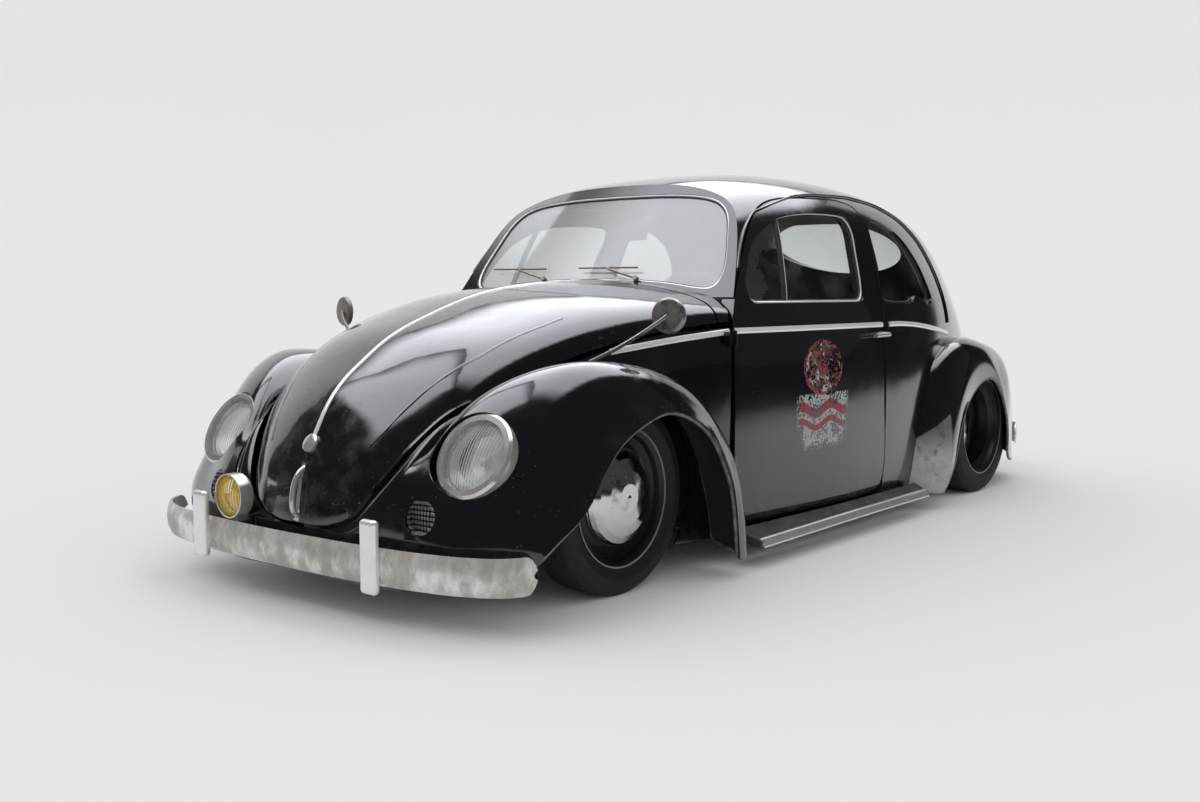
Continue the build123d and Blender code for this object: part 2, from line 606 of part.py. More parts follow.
def build_lamps(front, rear):
    ring = lamp_axis_rod(HEADLAMP, HEADLAMP_NORMAL, RING_RADIUS, -34, 14)
    ring = ring - lamp_axis_rod(HEADLAMP, HEADLAMP_NORMAL, LENS_RADIUS + SEAT_GAP, -50, 40)
    ring = chamfer(ring.edges().filter_by(lambda e: abs((e @ 0 - Vector(*HEADLAMP)).length - RING_RADIUS) < 3), 7)
    bowl = lamp_axis_rod(HEADLAMP, HEADLAMP_NORMAL, LENS_RADIUS + 6, -70, -9)
    bowl = bowl - lamp_axis_rod(HEADLAMP, HEADLAMP_NORMAL, LENS_RADIUS - 4, -64, 0)
    housing = only(ring + bowl + (lamp_axis_rod(HEADLAMP, HEADLAMP_NORMAL, LENS_RADIUS + 6, -10, -7)
                                                - lamp_axis_rod(HEADLAMP, HEADLAMP_NORMAL, LENS_RADIUS - 4, -12, 0)))
    keep("headlamps", housing, mirrored(housing))
    lens = dome(HEADLAMP, HEADLAMP_NORMAL, LENS_RADIUS, 24, 6)
    keep("headlamp_lenses", lens, mirrored(lens))

    shell = rod((FOG_LAMP[0] - 42, FOG_LAMP[1], FOG_LAMP[2]), (FOG_LAMP[0] + 8, FOG_LAMP[1], FOG_LAMP[2]), FOG_RADIUS)
    shell = fillet(shell.edges().sort_by(Axis.X)[0], 14)
    shell = shell - rod((FOG_LAMP[0] - 30, FOG_LAMP[1], FOG_LAMP[2]), (FOG_LAMP[0] + 9, FOG_LAMP[1], FOG_LAMP[2]), 60)
    stalk = rod((FOG_LAMP[0] - 18, FOG_LAMP[1], FOG_LAMP[2] - 50), (FOG_LAMP[0] - 18, FOG_LAMP[1], 176), 7)
    reach = spline(FRONT_BLADE, 1.05)[0] - SHEET - 2.4
    stalk = stalk + rod((FOG_LAMP[0] - 18, FOG_LAMP[1], 176), (reach, FOG_LAMP[1], 176), 7)
    keep("fog_lamp", only(shell + (stalk - rod((FOG_LAMP[0] - 32, FOG_LAMP[1], FOG_LAMP[2]),
                                               (FOG_LAMP[0] + 9, FOG_LAMP[1], FOG_LAMP[2]), 60))))
    keep("fog_lens", dome(FOG_LAMP, (1, 0, 0), 60 - SEAT_GAP, 16, 5))

    axis = HORN_NORMAL
    grille = lamp_axis_rod(HORN_GRILLE, axis, HORN_RADIUS, -24, 9) - lamp_axis_rod(HORN_GRILLE, axis, 39, -30, 20)
    for i in range(-3, 4):
        x, y, z = HORN_GRILLE
        slat = block(x - 12, x + 4, y + i * 11 - 2.5, y + i * 11 + 2.5, z - 44, z + 44)
        grille = grille + (slat & lamp_axis_rod(HORN_GRILLE, axis, 41, -14, 8))
    grille = only(grille)
    keep("horn_grilles", grille, mirrored(grille))

    foot = fender(REAR_FENDER)(9.6, 1.9)
    lamp = lamp_axis_rod(foot, (-0.62, 0.18, 0.76), 36, -20, 42)
    tip = Vector(*foot) + Vector(-0.62, 0.18, 0.76).normalized() * 42
    lamp = chamfer(lamp.edges().sort_by_distance(tip)[0], 5)
    lamp = only(lamp - rear)
    keep("tail_lamps", lamp, mirrored(lamp))


MIRROR_FOOT = (1324, 513, 668)
MIRROR_HEAD = (1208, 708, 800)


def build_mirrors():
    x, y, z = MIRROR_HEAD
    head = Pos(x, y, z) * Rot(0, 0, 12) * (Cylinder(52, 16, rotation=(0, 90, 0)))
    head = fillet(head.edges().sort_by(Axis.X)[-1], 10)
    a, b = Vector(*MIRROR_FOOT), Vector(x + 6, y, z)
    path = Edge.make_spline([a, a + Vector(-34, 34, 22), b - Vector(-24, 34, 30), b])
    arm = Solid.sweep(Wire.make_circle(6, Plane(path @ 0, z_dir=path % 0)), path)
    body = head + arm
    body = Pos(0, SEAM_GAP, 0) * only(body - beside_nose())
    keep("mirrors", body, mirrored(body))


WIPER_Y = (-208.0, 208.0)


def build_wipers():
    solids = []
    for y in WIPER_Y:
        plane = screen_plane(3)
        local = plane.to_local_coords(Vector(711, y, 913))
        arm = rod((local.X, local.Y, SEAT_GAP - 3), (local.X, local.Y, 12), 9)
        arm = arm + rod((local.X, local.Y, 8), (local.X - 130, local.Y + 36, 10), 4)
        arm = arm + rod((local.X - 10, local.Y + 44, 5), (local.X - 270, local.Y + 46, 5), 3.5)
        arm = arm + rod((local.X - 130, local.Y + 36, 10), (local.X - 140, local.Y + 45, 5), 4)
        solids.append(only(plane * arm))
    keep("wipers", *solids)


FRONT_BLADE = [(0, 2031, 0), (1, 2024, 250), (2, 2002, 480), (3, 1962, 640), (4, 1905, 728), (5, 1835, 762)]
REAR_BLADE = [(0, -2031, 0), (1, -2028, 220), (2, -2012, 400), (3, -1975, 500), (4, -1915, 550), (5, -1845, 575)]
BLADE_TOP, BLADE_BOTTOM = 224.0, 126.0
BLADE_TIP = 4.5                 # station where the blade starts to round off
OVERRIDER_Y = 370.0
OVERRIDER_HALF = 29.0
IRON_INSET = {1: 54.0, -1: 104.0}
IRON_END = {1: 1941.0, -1: 1640.0}
IRON_REACH = {1: -4.0, -1: 3.0}


def bumper(stations, sign):
    def blade(u, v):
        x, y = spline(stations, abs(u))
        crown = 14 * v * v
        tip = max(0.0, abs(u) - BLADE_TIP) / (5 - BLADE_TIP)
        half = (BLADE_TOP - BLADE_BOTTOM) / 2 * math.sqrt(1 - 0.94 * tip * tip)
        return x - sign * crown, math.copysign(y, u) if u else 0.0, (BLADE_TOP + BLADE_BOTTOM) / 2 + half * v

    body = skin(blade, span(-5, 5, 41), span(-1, 1, 7), SHEET, outward=sign)
    x = abs(spline(stations, 1.52)[0])
    for y in (-OVERRIDER_Y, OVERRIDER_Y):
        near, far = (x - 6, x + 20) if sign > 0 else (-x - 20, -x + 12)
        over = rounded_block(near, far, y - OVERRIDER_HALF, y + OVERRIDER_HALF, 106, 298, 12)
        body = body + over
        inset = math.copysign(IRON_INSET[sign], y)
        iron = block(*sorted((sign * IRON_END[sign], sign * (x + IRON_REACH[sign]))), y - inset - 4, y - inset + 4, 150, 200)
        if sign < 0:
            iron = Pos(-SEAM_GAP, 0, 0) * only(iron - body_volume())
        body = body + iron
    return body


def build_bumpers():
    front = bumper(FRONT_BLADE, 1)
    keep("front_bumper", only(front))
    keep("rear_bumper", only(bumper(REAR_BLADE, -1)))


# ---------------------------------------------------------------- running gear
def turned(points, x, y, z=TYRE_RADIUS, side=1):
    """Ring turned about a wheel's axis from (radius, offset outward) points."""
    outline = Wire.make_polygon([Vector(x + r, y + side * o, z) for r, o in points])
    return Solid.revolve(Face(outline), 360, Axis((x, y, z), (0, 1, 0)))


def wheel(x, y, width, disc, edge, side):
    half = width / 2
    barrel = [(RIM_RADIUS, half), (190, half - 8), (186, half - 26), (168, half - 42), (168, -half + 42),
              (186, -half + 26), (190, -half + 8), (RIM_RADIUS, -half), (200, -half), (186, -half + 12),
              (181, -half + 28), (163, -half + 44), (163, half - 44), (181, half - 28), (186, half - 12), (200, half)]
    face = [(0, disc - 9), (118, disc - 9), (140, disc - 14), (165, disc + edge), (165, disc + edge + 6),
            (HUBCAP_RADIUS + 4, disc - 6), (HUBCAP_RADIUS - 1, disc + 2)]
    face += [(HUBCAP_RADIUS * share, disc + rise)
             for share, rise in ((1, 8), (0.944, 20), (0.8, 31), (0.56, 40), (0.288, 45), (0, 46))]
    drum = [(0, DRUM_FACE_OFFSET), (115, DRUM_FACE_OFFSET), (115, DRUM_FACE_OFFSET + 34), (60, disc - 8),
            (0, disc - 8)]
    inner = [(r, o) for r, o in drum]
    return turned(barrel, x, y, side=side) + turned(face, x, y, side=side) + turned(inner, x, y, side=side)


DRUM_FACE_OFFSET = -60.0


def tyre(x, y, rim, width, side):
    half, wall = rim / 2, width / 2
    outline = [(190.3, half - 9), (204.8, half - 1.6), (214, half + 2), (236, wall), (262, wall - 3), (275, wall - 12),
               (TYRE_RADIUS, wall - 24)]
    ring = outline + [(r, -o) for r, o in reversed(outline)]
    return turned(ring, x, y, side=side)


def build_running_gear():
    for name, x, y, rim, width, disc, edge in (
        ("front", FRONT_AXLE_X, FRONT_WHEEL_Y, FRONT_RIM_WIDTH, FRONT_TYRE_WIDTH, 38, -26),
        ("rear", REAR_AXLE_X, REAR_WHEEL_Y, REAR_RIM_WIDTH, REAR_TYRE_WIDTH, -36, 0),
    ):
        disc_wheel = wheel(x, y, rim, disc, edge, 1)
        rubber = tyre(x, y, rim, width, 1)
        keep(f"wheel_{name}_left", disc_wheel)
        keep(f"wheel_{name}_right", mirrored(disc_wheel))
        keep(f"tyre_{name}_left", rubber)
        keep(f"tyre_{name}_right", mirrored(rubber))

    drum_in = FRONT_WHEEL_Y + DRUM_FACE_OFFSET
    knuckle = rod((FRONT_AXLE_X, KINGPIN_Y, 225), (FRONT_AXLE_X, KINGPIN_Y, 341), 18)
    knuckle = knuckle + rod((FRONT_AXLE_X, KINGPIN_Y, TYRE_RADIUS), (FRONT_AXLE_X, drum_in - 8, TYRE_RADIUS), 26)
    knuckle = knuckle + rod((FRONT_AXLE_X, drum_in - 8, TYRE_RADIUS), (FRONT_AXLE_X, drum_in - SEAT_GAP, TYRE_RADIUS), 108)
    keep("knuckle_left", knuckle)
    keep("knuckle_right", mirrored(knuckle))

    beam = block(BEAM_X - 30, BEAM_X + 30, -140, 140, 225, 375)
    for z in (240, 350):
        beam = beam + rod((BEAM_X, -352, z), (BEAM_X, 352, z), 28)
        for y in (-1, 1):
            end = (FRONT_AXLE_X, y * 412, 250 if z == 240 else 322)
            beam = beam + rod((BEAM_X, y * 346, z), end, 13)
    for y in (-412, 412):
        beam = beam + rod((FRONT_AXLE_X, y, 225), (FRONT_AXLE_X, y, 341), KINGPIN_Y - 412 - 18 - SEAT_GAP)
    beam = beam + block(HEAD_X + SEAT_GAP, BEAM_X, -120, 120, 225, 265)
    keep("front_axle_beam", beam)

    axle = rounded_block(ENGINE_FRONT + SEAT_GAP, -930, -115, 115, 185, 312, 25)
    plate = REAR_WHEEL_Y + DRUM_FACE_OFFSET
    for y in (-1, 1):
        axle = axle + rod((REAR_AXLE_X, 0, TYRE_RADIUS), (REAR_AXLE_X, y * (plate - 4), TYRE_RADIUS), 36)
        axle = axle + rod((REAR_AXLE_X, y * (plate - 8), TYRE_RADIUS), (REAR_AXLE_X, y * (plate - SEAT_GAP), TYRE_RADIUS), 112)
    axle = axle + rod((-900, -300, 250), (-900, 300, 250), 34)
    for y in (-1, 1):
        axle = axle + block(-1110, -880, *sorted((y * 296, y * 306)), 225, 290)
    keep("rear_axle", axle)
    keep("engine", rounded_block(ENGINE_REAR, ENGINE_FRONT, -240, 240, 185, 520, 20))

    muffler = rod((MUFFLER_X, -205, 165), (MUFFLER_X, 205, 165), 42)
    for y in (-1, 1):
        pipe = rod((MUFFLER_X + 12, y * TAILPIPE_Y, TAILPIPE_Z), (TIP_START, y * TAILPIPE_Y, TAILPIPE_Z), TAILPIPE_RADIUS)
        drop = rod((MUFFLER_X, y * TAILPIPE_Y, 160), (MUFFLER_X, y * TAILPIPE_Y, TAILPIPE_Z - 12), TAILPIPE_RADIUS)
        tip = rod((TIP_START, y * TAILPIPE_Y, TAILPIPE_Z), (TIP_START - TIP_LENGTH, y * TAILPIPE_Y, TAILPIPE_Z),
                  TIP_RADIUS)
        bore = rod((TIP_START - 10, y * TAILPIPE_Y, TAILPIPE_Z), (-2000, y * TAILPIPE_Y, TAILPIPE_Z), TIP_RADIUS - 3)
        feed = rod((ENGINE_REAR - SEAT_GAP, y * 150, 215), (MUFFLER_X, y * 150, 180), 16)
        feed = feed & block(-FAR, ENGINE_REAR - SEAT_GAP, -FAR, FAR, 0, FAR)
        muffler = muffler + drop + (pipe + tip - bore) + feed
    keep("exhaust", muffler)


# ---------------------------------------------------------------- floor, running boards, cabin fittings
def build_floor():
    edge = [(x, cabin(x, 0.0)[1] - BODY_WALL - 9.6) for x in span(-640, 760, 15)]
    edge += [(770, 592), (TUB_REAR - SEAT_GAP, 592)]
    outline = edge + [(x, -y) for x, y in reversed(edge)]
    pan = Solid.extrude(Face(Wire.make_polygon([Vector(x, y, 92) for x, y in outline])), Vector(0, 0, 12))
    pan = pan + rounded_block(-700, 822, -75, 75, 94, 240, 20)
    pan = pan + block(760, HEAD_X, -130, 130, 112, 150)
    pan = pan + block(HEAD_X - 50, HEAD_X, -110, 110, 112, 300)
    for y in (-1, 1):
        pan = pan + block(-640, 822, *sorted((y * 520, y * 572)), 96, 180)
        pan = pan + block(-1000, -600, *sorted((y * (115 + SEAT_GAP), y * 175)), 120, 215.7)
    pan = pan + block(-646, -634, -465, 465, 92, 330) + block(-1010, -634, -465, 465, 318, 330)
    pan = pan + block(-1016, -1004, -465, 465, 318, 760)
    keep("floorpan", pan)

    def board(u, v):
        inner = max(cabin(u, s)[1] for s in (0.0, 0.1, 0.2)) + 15
        return u, inner + (BOARD_EDGE - inner) * v, 118 - 26 * v - 6 * v**4

    plank = skin(board, span(BOARD_REAR, BOARD_FRONT, 14), span(0, 1, 9), 24, outward=1)
    for fender_body in NODES["fender_rear_left"]:
        plank = plank - fender_body
    keep("running_boards", only(plank), mirrored(only(plank)))


BOARD_EDGE = 756.0
BOARD_REAR, BOARD_FRONT = -448.0, 776.0
STEERING_CENTRE = (420, 310, 775)
STEERING_AXIS = (0.80, 0.0, -0.60)


def build_cabin():
    dash = rounded_block(560, 640, -575, 575, 650, 800, 14)
    dash = dash + block(620, TUB_REAR - SEAT_GAP, -500, 500, 784, 796)
    column_start = Vector(*STEERING_CENTRE) + Vector(*STEERING_AXIS) * 40
    column = rod(tuple(column_start + Vector(*STEERING_AXIS) * SEAT_GAP),
                 tuple(column_start + Vector(*STEERING_AXIS) * 420), 20)
    keep("dashboard", only(dash + column))

    plane = Plane(Vector(*STEERING_CENTRE), z_dir=Vector(*STEERING_AXIS))
    rim = plane * Torus(192, 10)
    hub = plane * (Pos(0, 0, 20) * Cylinder(26, 40))
    wheel_body = rim + hub
    for side in (-1, 1):
        wheel_body = wheel_body + plane * (Pos(0, side * 104, 4) * Box(22, 176, 8))
    keep("steering_wheel", only(wheel_body))

    seats = []
    for y in (-1, 1):
        cushion = rounded_block(-70, 400, *sorted((y * 90, y * 545)), 250, 400, 40)
        back = Pos(-120, y * 317, 610) * Rot(0, -14, 0) * fillet(Box(120, 450, 520).edges(), 40)
        legs = block(0, 330, *sorted((y * 150, y * 170)), 104 + SEAT_GAP, 262)
        legs = legs + block(0, 330, *sorted((y * 470, y * 490)), 104 + SEAT_GAP, 262)
        seats.append(only(cushion + back + legs))
    keep("front_seats", *seats)
    bench = rounded_block(-960, -420, -455, 455, 330 + SEAT_GAP, 440, 40)
    back = Pos(-900, 0, 600) * Rot(0, -14, 0) * fillet(Box(110, 900, 380).edges(), 40)
    keep("rear_seat", only(bench + back))


def build_hinges():
    """Outside hinge knuckles at the doors' front edges, on the body's side."""
    solids = []
    for z in HINGE_HEIGHTS:
        pin = rod((HINGE_X, HINGE_Y, z - 24), (HINGE_X, HINGE_Y, z + 24), 6.5)
        solids.append(pin + block(HINGE_X + 2, HINGE_X + 34, HINGE_Y - 22, HINGE_Y + 1, z - 20, z + 20))
    pins = [Pos(0, SEAM_GAP, 0) * only(s - beside_nose()) for s in solids]
    keep("door_hinges", *(pins + [mirrored(p) for p in pins]))


HINGE_X, HINGE_Y = 781.0, 655.0
HINGE_HEIGHTS = (722.0, 330.0)

build_shell()
build_doors()
build_glass()
build_lids()
build_nose()
build_fenders()
build_mirrors()
build_wipers()
build_bumpers()
build_running_gear()
build_floor()
build_cabin()
build_hinges()
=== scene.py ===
"""Looks for the compact car: finishes, trim, padded seats, lamps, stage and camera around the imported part."""

import json
from math import cos, pi, radians, sin

import bmesh
import bpy
from mathutils import Matrix, Vector
from mathutils.bvhtree import BVHTree


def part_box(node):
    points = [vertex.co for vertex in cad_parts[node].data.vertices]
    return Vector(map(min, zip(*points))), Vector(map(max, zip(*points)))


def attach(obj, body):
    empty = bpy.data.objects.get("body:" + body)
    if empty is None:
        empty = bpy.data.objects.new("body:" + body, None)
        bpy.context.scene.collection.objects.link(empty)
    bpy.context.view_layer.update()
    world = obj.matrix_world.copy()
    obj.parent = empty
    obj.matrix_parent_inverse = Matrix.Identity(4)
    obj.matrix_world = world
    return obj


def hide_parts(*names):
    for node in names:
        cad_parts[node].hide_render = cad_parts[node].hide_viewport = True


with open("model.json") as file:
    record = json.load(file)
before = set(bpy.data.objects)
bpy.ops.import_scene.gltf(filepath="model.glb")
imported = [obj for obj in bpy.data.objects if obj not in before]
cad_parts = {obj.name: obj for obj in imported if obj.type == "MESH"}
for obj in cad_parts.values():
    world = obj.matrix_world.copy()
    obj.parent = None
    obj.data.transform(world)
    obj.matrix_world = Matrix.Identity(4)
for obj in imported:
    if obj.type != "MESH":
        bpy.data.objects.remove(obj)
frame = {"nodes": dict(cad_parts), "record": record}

bl_info = {
    "name": "Compact Car Looks",
    "version": (1, 0, 0),
    "blender": (4, 5, 0),
    "location": "3D View > Sidebar > Car",
    "description": "Finishes, trim, seats, stage and camera for the compact car",
    "category": "Object",
}

SHARP = radians(32)
NORMALS = "packed_normal"
FRONT_AXLE = (1.293, 0.0, 0.283)
REAR_AXLE = (-1.107, 0.0, 0.283)
SIGN_CENTRE = (0.262, 0.0, 0.520)
CAP_EDGE = 0.1410


# ---------------------------------------------------------------- settings

class CarTrim(bpy.types.PropertyGroup):
    """Widths of the bright trim and the rubber round the windows."""

    rubber: bpy.props.FloatProperty(
        name="Window rubber", description="Width of the rubber round each pane",
        default=0.020, unit="LENGTH", subtype="DISTANCE")
    insert: bpy.props.FloatProperty(
        name="Bright insert", description="Width of the bright strip in the window rubber",
        default=0.0085, unit="LENGTH", subtype="DISTANCE")
    belt: bpy.props.FloatProperty(
        name="Belt moulding", description="Width of the strip along the waist of the body",
        default=0.019, unit="LENGTH", subtype="DISTANCE")
    hood: bpy.props.FloatProperty(
        name="Hood moulding", description="Width of the strip along the middle of the hood",
        default=0.016, unit="LENGTH", subtype="DISTANCE")


class CarWear(bpy.types.PropertyGroup):
    """How worn the finishes are."""

    chips: bpy.props.FloatProperty(
        name="Chips", description="Share of the paint that is chipped near the edges",
        default=0.5, min=0.0, max=1.0, subtype="FACTOR")
    stains: bpy.props.FloatProperty(
        name="Stains", description="Share of the bright metal that is stained brown",
        default=0.5, min=0.0, max=1.0, subtype="FACTOR")


class CarSeats(bpy.types.PropertyGroup):
    """How the padded seats are made."""

    voxel: bpy.props.FloatProperty(
        name="Voxel", description="Size of the faces that a cushion is remeshed to",
        default=0.011, unit="LENGTH", subtype="DISTANCE")
    swell: bpy.props.FloatProperty(
        name="Swell", description="How far a point of a cushion may move while it is filled",
        default=0.022, unit="LENGTH", subtype="DISTANCE")


class CarStage(bpy.types.PropertyGroup):
    """The room that the car stands in."""

    wall: bpy.props.FloatProperty(
        name="Wall distance", description="From the car to the wall behind it",
        default=13.0, unit="LENGTH", subtype="DISTANCE")
    lens: bpy.props.FloatProperty(
        name="Lens", description="Focal length of the camera on a 36 mm sensor",
        default=37.01, unit="CAMERA")


# ---------------------------------------------------------------- shader nodes

class Wire:
    """An output of a material's nodes that can be used in plain arithmetic."""

    def __init__(self, tree, socket=None):
        self.tree = tree
        self.socket = socket

    def node(self, kind, settings=None, inputs=None, output=0):
        """Adds a node of any kind and returns one of its outputs."""
        made = self.tree.nodes.new(kind)
        for name, value in (settings or {}).items():
            setattr(made, name, value)
        for name, value in (inputs or {}).items():
            if isinstance(value, Wire):
                self.tree.links.new(value.socket, made.inputs[name])
            else:
                made.inputs[name].default_value = value
        return Wire(self.tree, made.outputs[output])

    def maths(self, operation, *values):
        return self.node("ShaderNodeMath", {"operation": operation}, dict(enumerate(values)))

    def __add__(self, other):
        return self.maths("ADD", self, other)

    def __radd__(self, other):
        return self.maths("ADD", other, self)

    def __sub__(self, other):
        return self.maths("SUBTRACT", self, other)

    def __rsub__(self, other):
        return self.maths("SUBTRACT", other, self)

    def __mul__(self, other):
        return self.maths("MULTIPLY", self, other)

    def __rmul__(self, other):
        return self.maths("MULTIPLY", other, self)

    def __truediv__(self, other):
        return self.maths("DIVIDE", self, other)

    def __pow__(self, other):
        return self.maths("POWER", self, other)


class Finish(Wire):
    """One procedural material under construction."""

    def __init__(self, name):
        self.material = bpy.data.materials.new(name)
        self.material.use_nodes = True
        super().__init__(self.material.node_tree)
        self.tree.nodes.clear()
        coordinates = self.tree.nodes.new("ShaderNodeTexCoord")
        self.place = Wire(self.tree, coordinates.outputs["Object"])

    def mapped(self, centre=(0, 0, 0), scale=(1, 1, 1), turn=(0, 0, 0)):
        """Object coordinates measured from a centre."""
        moved = self.node("ShaderNodeVectorMath", {"operation": "SUBTRACT"}, {0: self.place, 1: centre})
        return self.node("ShaderNodeMapping", {}, {"Vector": moved, "Scale": scale, "Rotation": turn})

    def axis(self, place, name):
        return self.node("ShaderNodeSeparateXYZ", {}, {"Vector": place}, "XYZ".index(name))

    def noise(self, scale, detail=3.0, rough=0.55, place=None, distortion=0.0):
        settings = {"Vector": place or self.place, "Scale": scale, "Detail": detail,
                    "Roughness": rough, "Distortion": distortion}
        return self.node("ShaderNodeTexNoise", {}, settings)

    def spots(self, scale, place=None, randomness=1.0):
        return self.node("ShaderNodeTexVoronoi", {},
                         {"Vector": place or self.place, "Scale": scale, "Randomness": randomness})

    def span(self, value, low, high):
        """0 below low, 1 above high and smooth between; low may be the larger."""
        settings = {"interpolation_type": "SMOOTHSTEP", "clamp": True}
        if low > high:
            reversed_span = self.node("ShaderNodeMapRange", settings,
                                      {"Value": value, "From Min": high, "From Max": low})
            return 1.0 - reversed_span
        return self.node("ShaderNodeMapRange", settings, {"Value": value, "From Min": low, "From Max": high})

    def mix(self, factor, first, second):
        """A blend of two colours."""
        made = self.tree.nodes.new("ShaderNodeMix")
        made.data_type = "RGBA"
        for index, value in ((0, factor), (6, first), (7, second)):
            if isinstance(value, Wire):
                self.tree.links.new(value.socket, made.inputs[index])
            elif index == 0:
                made.inputs[index].default_value = value
            else:
                made.inputs[index].default_value = (*value, 1.0)
        return Wire(self.tree, made.outputs[2])

    def level(self, factor, first, second):
        """A blend of two numbers."""
        return first + (second - first) * factor

    def bump(self, height, depth, strength=1.0):
        return self.node("ShaderNodeBump", {}, {"Height": height, "Distance": depth, "Strength": strength})

    def ball(self, centre, radius, soft):
        """1 inside a ball, 0 outside it."""
        away = self.node("ShaderNodeVectorMath", {"operation": "DISTANCE"}, {0: self.place, 1: centre},
                         "Value")
        return self.span(away, radius + soft, radius - soft)

    def radius(self, centre):
        """Distance from an axis along Y."""
        moved = self.mapped(centre)
        flat = self.node("ShaderNodeVectorMath", {"operation": "MULTIPLY"}, {0: moved, 1: (1, 0, 1)})
        return self.node("ShaderNodeVectorMath", {"operation": "LENGTH"}, {0: flat}, "Value")

    def surface(self, **inputs):
        """Ends the material in a principled shader."""
        named = {name.replace("_", " "): value for name, value in inputs.items()}
        for name in ("Base Color", "Specular Tint", "Coat Tint"):
            if isinstance(named.get(name), tuple) and len(named[name]) == 3:
                named[name] = (*named[name], 1.0)
        shader = self.node("ShaderNodeBsdfPrincipled", {}, named)
        return self.output(shader)

    def output(self, shader):
        end = self.tree.nodes.new("ShaderNodeOutputMaterial")
        self.tree.links.new(shader.socket, end.inputs["Surface"])
        return self.material


PAINT = (0.0026, 0.0034, 0.0052)
PRIMER = (0.110, 0.105, 0.100)
RUST = (0.060, 0.026, 0.014)
PALE_RUST = (0.13, 0.085, 0.060)
DUST = (0.10, 0.105, 0.11)


def paint_look(finish, worn=None, dusty=None, extra=None):
    """The aged blue-black gloss. worn and dusty are masks, extra is (mask, colour)."""
    chips = bpy.context.scene.car_wear.chips
    broad = finish.noise(3.2, 4.0, 0.6)
    fine = finish.noise(38.0, 4.0, 0.65)
    speck = finish.spots(62.0)
    grain = finish.noise(220.0, 2.0, 0.5)
    scratch = finish.noise(9.0, 5.0, 0.7, finish.mapped(scale=(1.0, 1.0, 7.0)), 0.6)
    haze = finish.span(broad, 0.50, 0.78) * 0.35 + finish.span(scratch, 0.60, 0.80) * 0.25
    if dusty is not None:
        haze = haze + dusty * finish.span(finish.noise(14.0, 5.0, 0.7), 0.42, 0.72) * 0.9
    colour = finish.mix(finish.maths("MINIMUM", haze * 0.09, 1.0), PAINT, DUST)
    sparse = finish.span(speck, 0.10, 0.06) * finish.span(finish.noise(7.0, 2.0), 0.62, 0.70)
    if worn is not None:
        wear = finish.maths("MINIMUM", worn, 1.0)
        chipped = finish.span(fine + wear * 0.13 * chips * 2.0, 0.79, 0.84) * wear
        dots = finish.span(speck - wear * 0.03, 0.12, 0.07) * wear * finish.span(fine, 0.46, 0.56)
        sparse = finish.maths("MAXIMUM", finish.maths("MAXIMUM", sparse, chipped), dots * 0.8)
    bare = finish.mix(finish.span(finish.noise(24.0, 3.0), 0.46, 0.56), PRIMER, RUST)
    bare = finish.mix(finish.span(grain, 0.5, 0.66) * 0.6, bare, PALE_RUST)
    colour = finish.mix(sparse, colour, bare)
    coat = 1.0 - sparse
    rough = 0.14 + haze * 0.24 + sparse * 0.5
    if extra is not None:
        mask, other, other_rough = extra
        colour = finish.mix(mask, colour, other)
        coat = coat * (1.0 - mask)
        rough = finish.level(mask, rough, other_rough)
    ripple = finish.noise(5.5, 2.0, 0.4) * 0.6 + broad * 0.4
    relief = ripple * 0.0022 + sparse * -0.00025 + finish.noise(140.0, 2.0) * 0.00002
    return finish.surface(Base_Color=colour, Roughness=rough, Specular_IOR_Level=0.5, Coat_Weight=coat * 0.9,
                          Coat_Roughness=0.035, Coat_IOR=1.5, Normal=finish.bump(relief, 1.0, 1.0))


def body_finish():
    finish = Finish("body_paint")
    height = finish.axis(finish.place, "Z")
    low = finish.span(height, 0.26, 0.12)
    return paint_look(finish, worn=low * 0.7, dusty=low)


def hood_finish():
    """Scuffs down the middle, chips along the nose."""
    finish = Finish("hood_paint")
    height = finish.axis(finish.place, "Z")
    side = finish.maths("ABSOLUTE", finish.axis(finish.place, "Y"))
    nose = finish.span(height, 0.56, 0.30)
    middle = finish.span(side, 0.42, 0.10)
    return paint_look(finish, worn=nose, dusty=middle * 0.9 + nose * 0.5)


def front_fender_finish():
    """Grey worn lips, rust round the lamps and on top by the arch."""
    finish = Finish("front_fender_paint")
    reach = finish.radius(FRONT_AXLE)
    side = finish.maths("ABSOLUTE", finish.axis(finish.place, "Y"))
    ahead = finish.axis(finish.place, "X")
    low_nose = finish.span(ahead, 1.60, 1.85)
    spot = finish.ball((1.38, 0.70, 0.655), 0.03, 0.03) + finish.ball((1.30, 0.72, 0.64), 0.022, 0.02)
    lip = finish.span(side, 0.750, 0.768) * finish.span(reach, 0.42, 0.36)
    ragged = finish.span(finish.noise(30.0, 4.0, 0.7), 0.40, 0.60)
    old = finish.mix(finish.noise(60.0, 3.0), (0.16, 0.09, 0.08), (0.30, 0.20, 0.18))
    return paint_look(finish, worn=low_nose * 0.8 + lip * 0.7 + spot, dusty=lip * 0.6,
                      extra=(finish.maths("MINIMUM", spot, 1.0) * ragged * 0.8, old, 0.5))


def rear_fender_finish():
    """A bare dented guard on the front face, its upper part painted darker as a painted reflection."""
    finish = Finish("rear_fender_paint")
    ahead = finish.axis(finish.place, "X")
    height = finish.axis(finish.place, "Z")
    guard = finish.span(ahead, -0.640, -0.625) * finish.span(height + (ahead + 0.55) * 0.6, 0.335, 0.322)
    mottled = finish.noise(22.0, 5.0, 0.7, distortion=0.4)
    metal = finish.mix(mottled, (0.16, 0.155, 0.15), (0.46, 0.45, 0.43))
    metal = finish.mix(finish.span(finish.noise(13.0, 4.0), 0.54, 0.66), metal, PRIMER)
    # Painted reflection: the guard's upper part is mixed toward near black, the dark its bare metal would
    # mirror.
    metal = finish.mix(finish.span(height, 0.20, 0.32) * 0.7, metal, (0.035, 0.035, 0.036))
    return paint_look(finish, worn=finish.span(height, 0.40, 0.20), dusty=guard, extra=(guard, metal, 0.42))


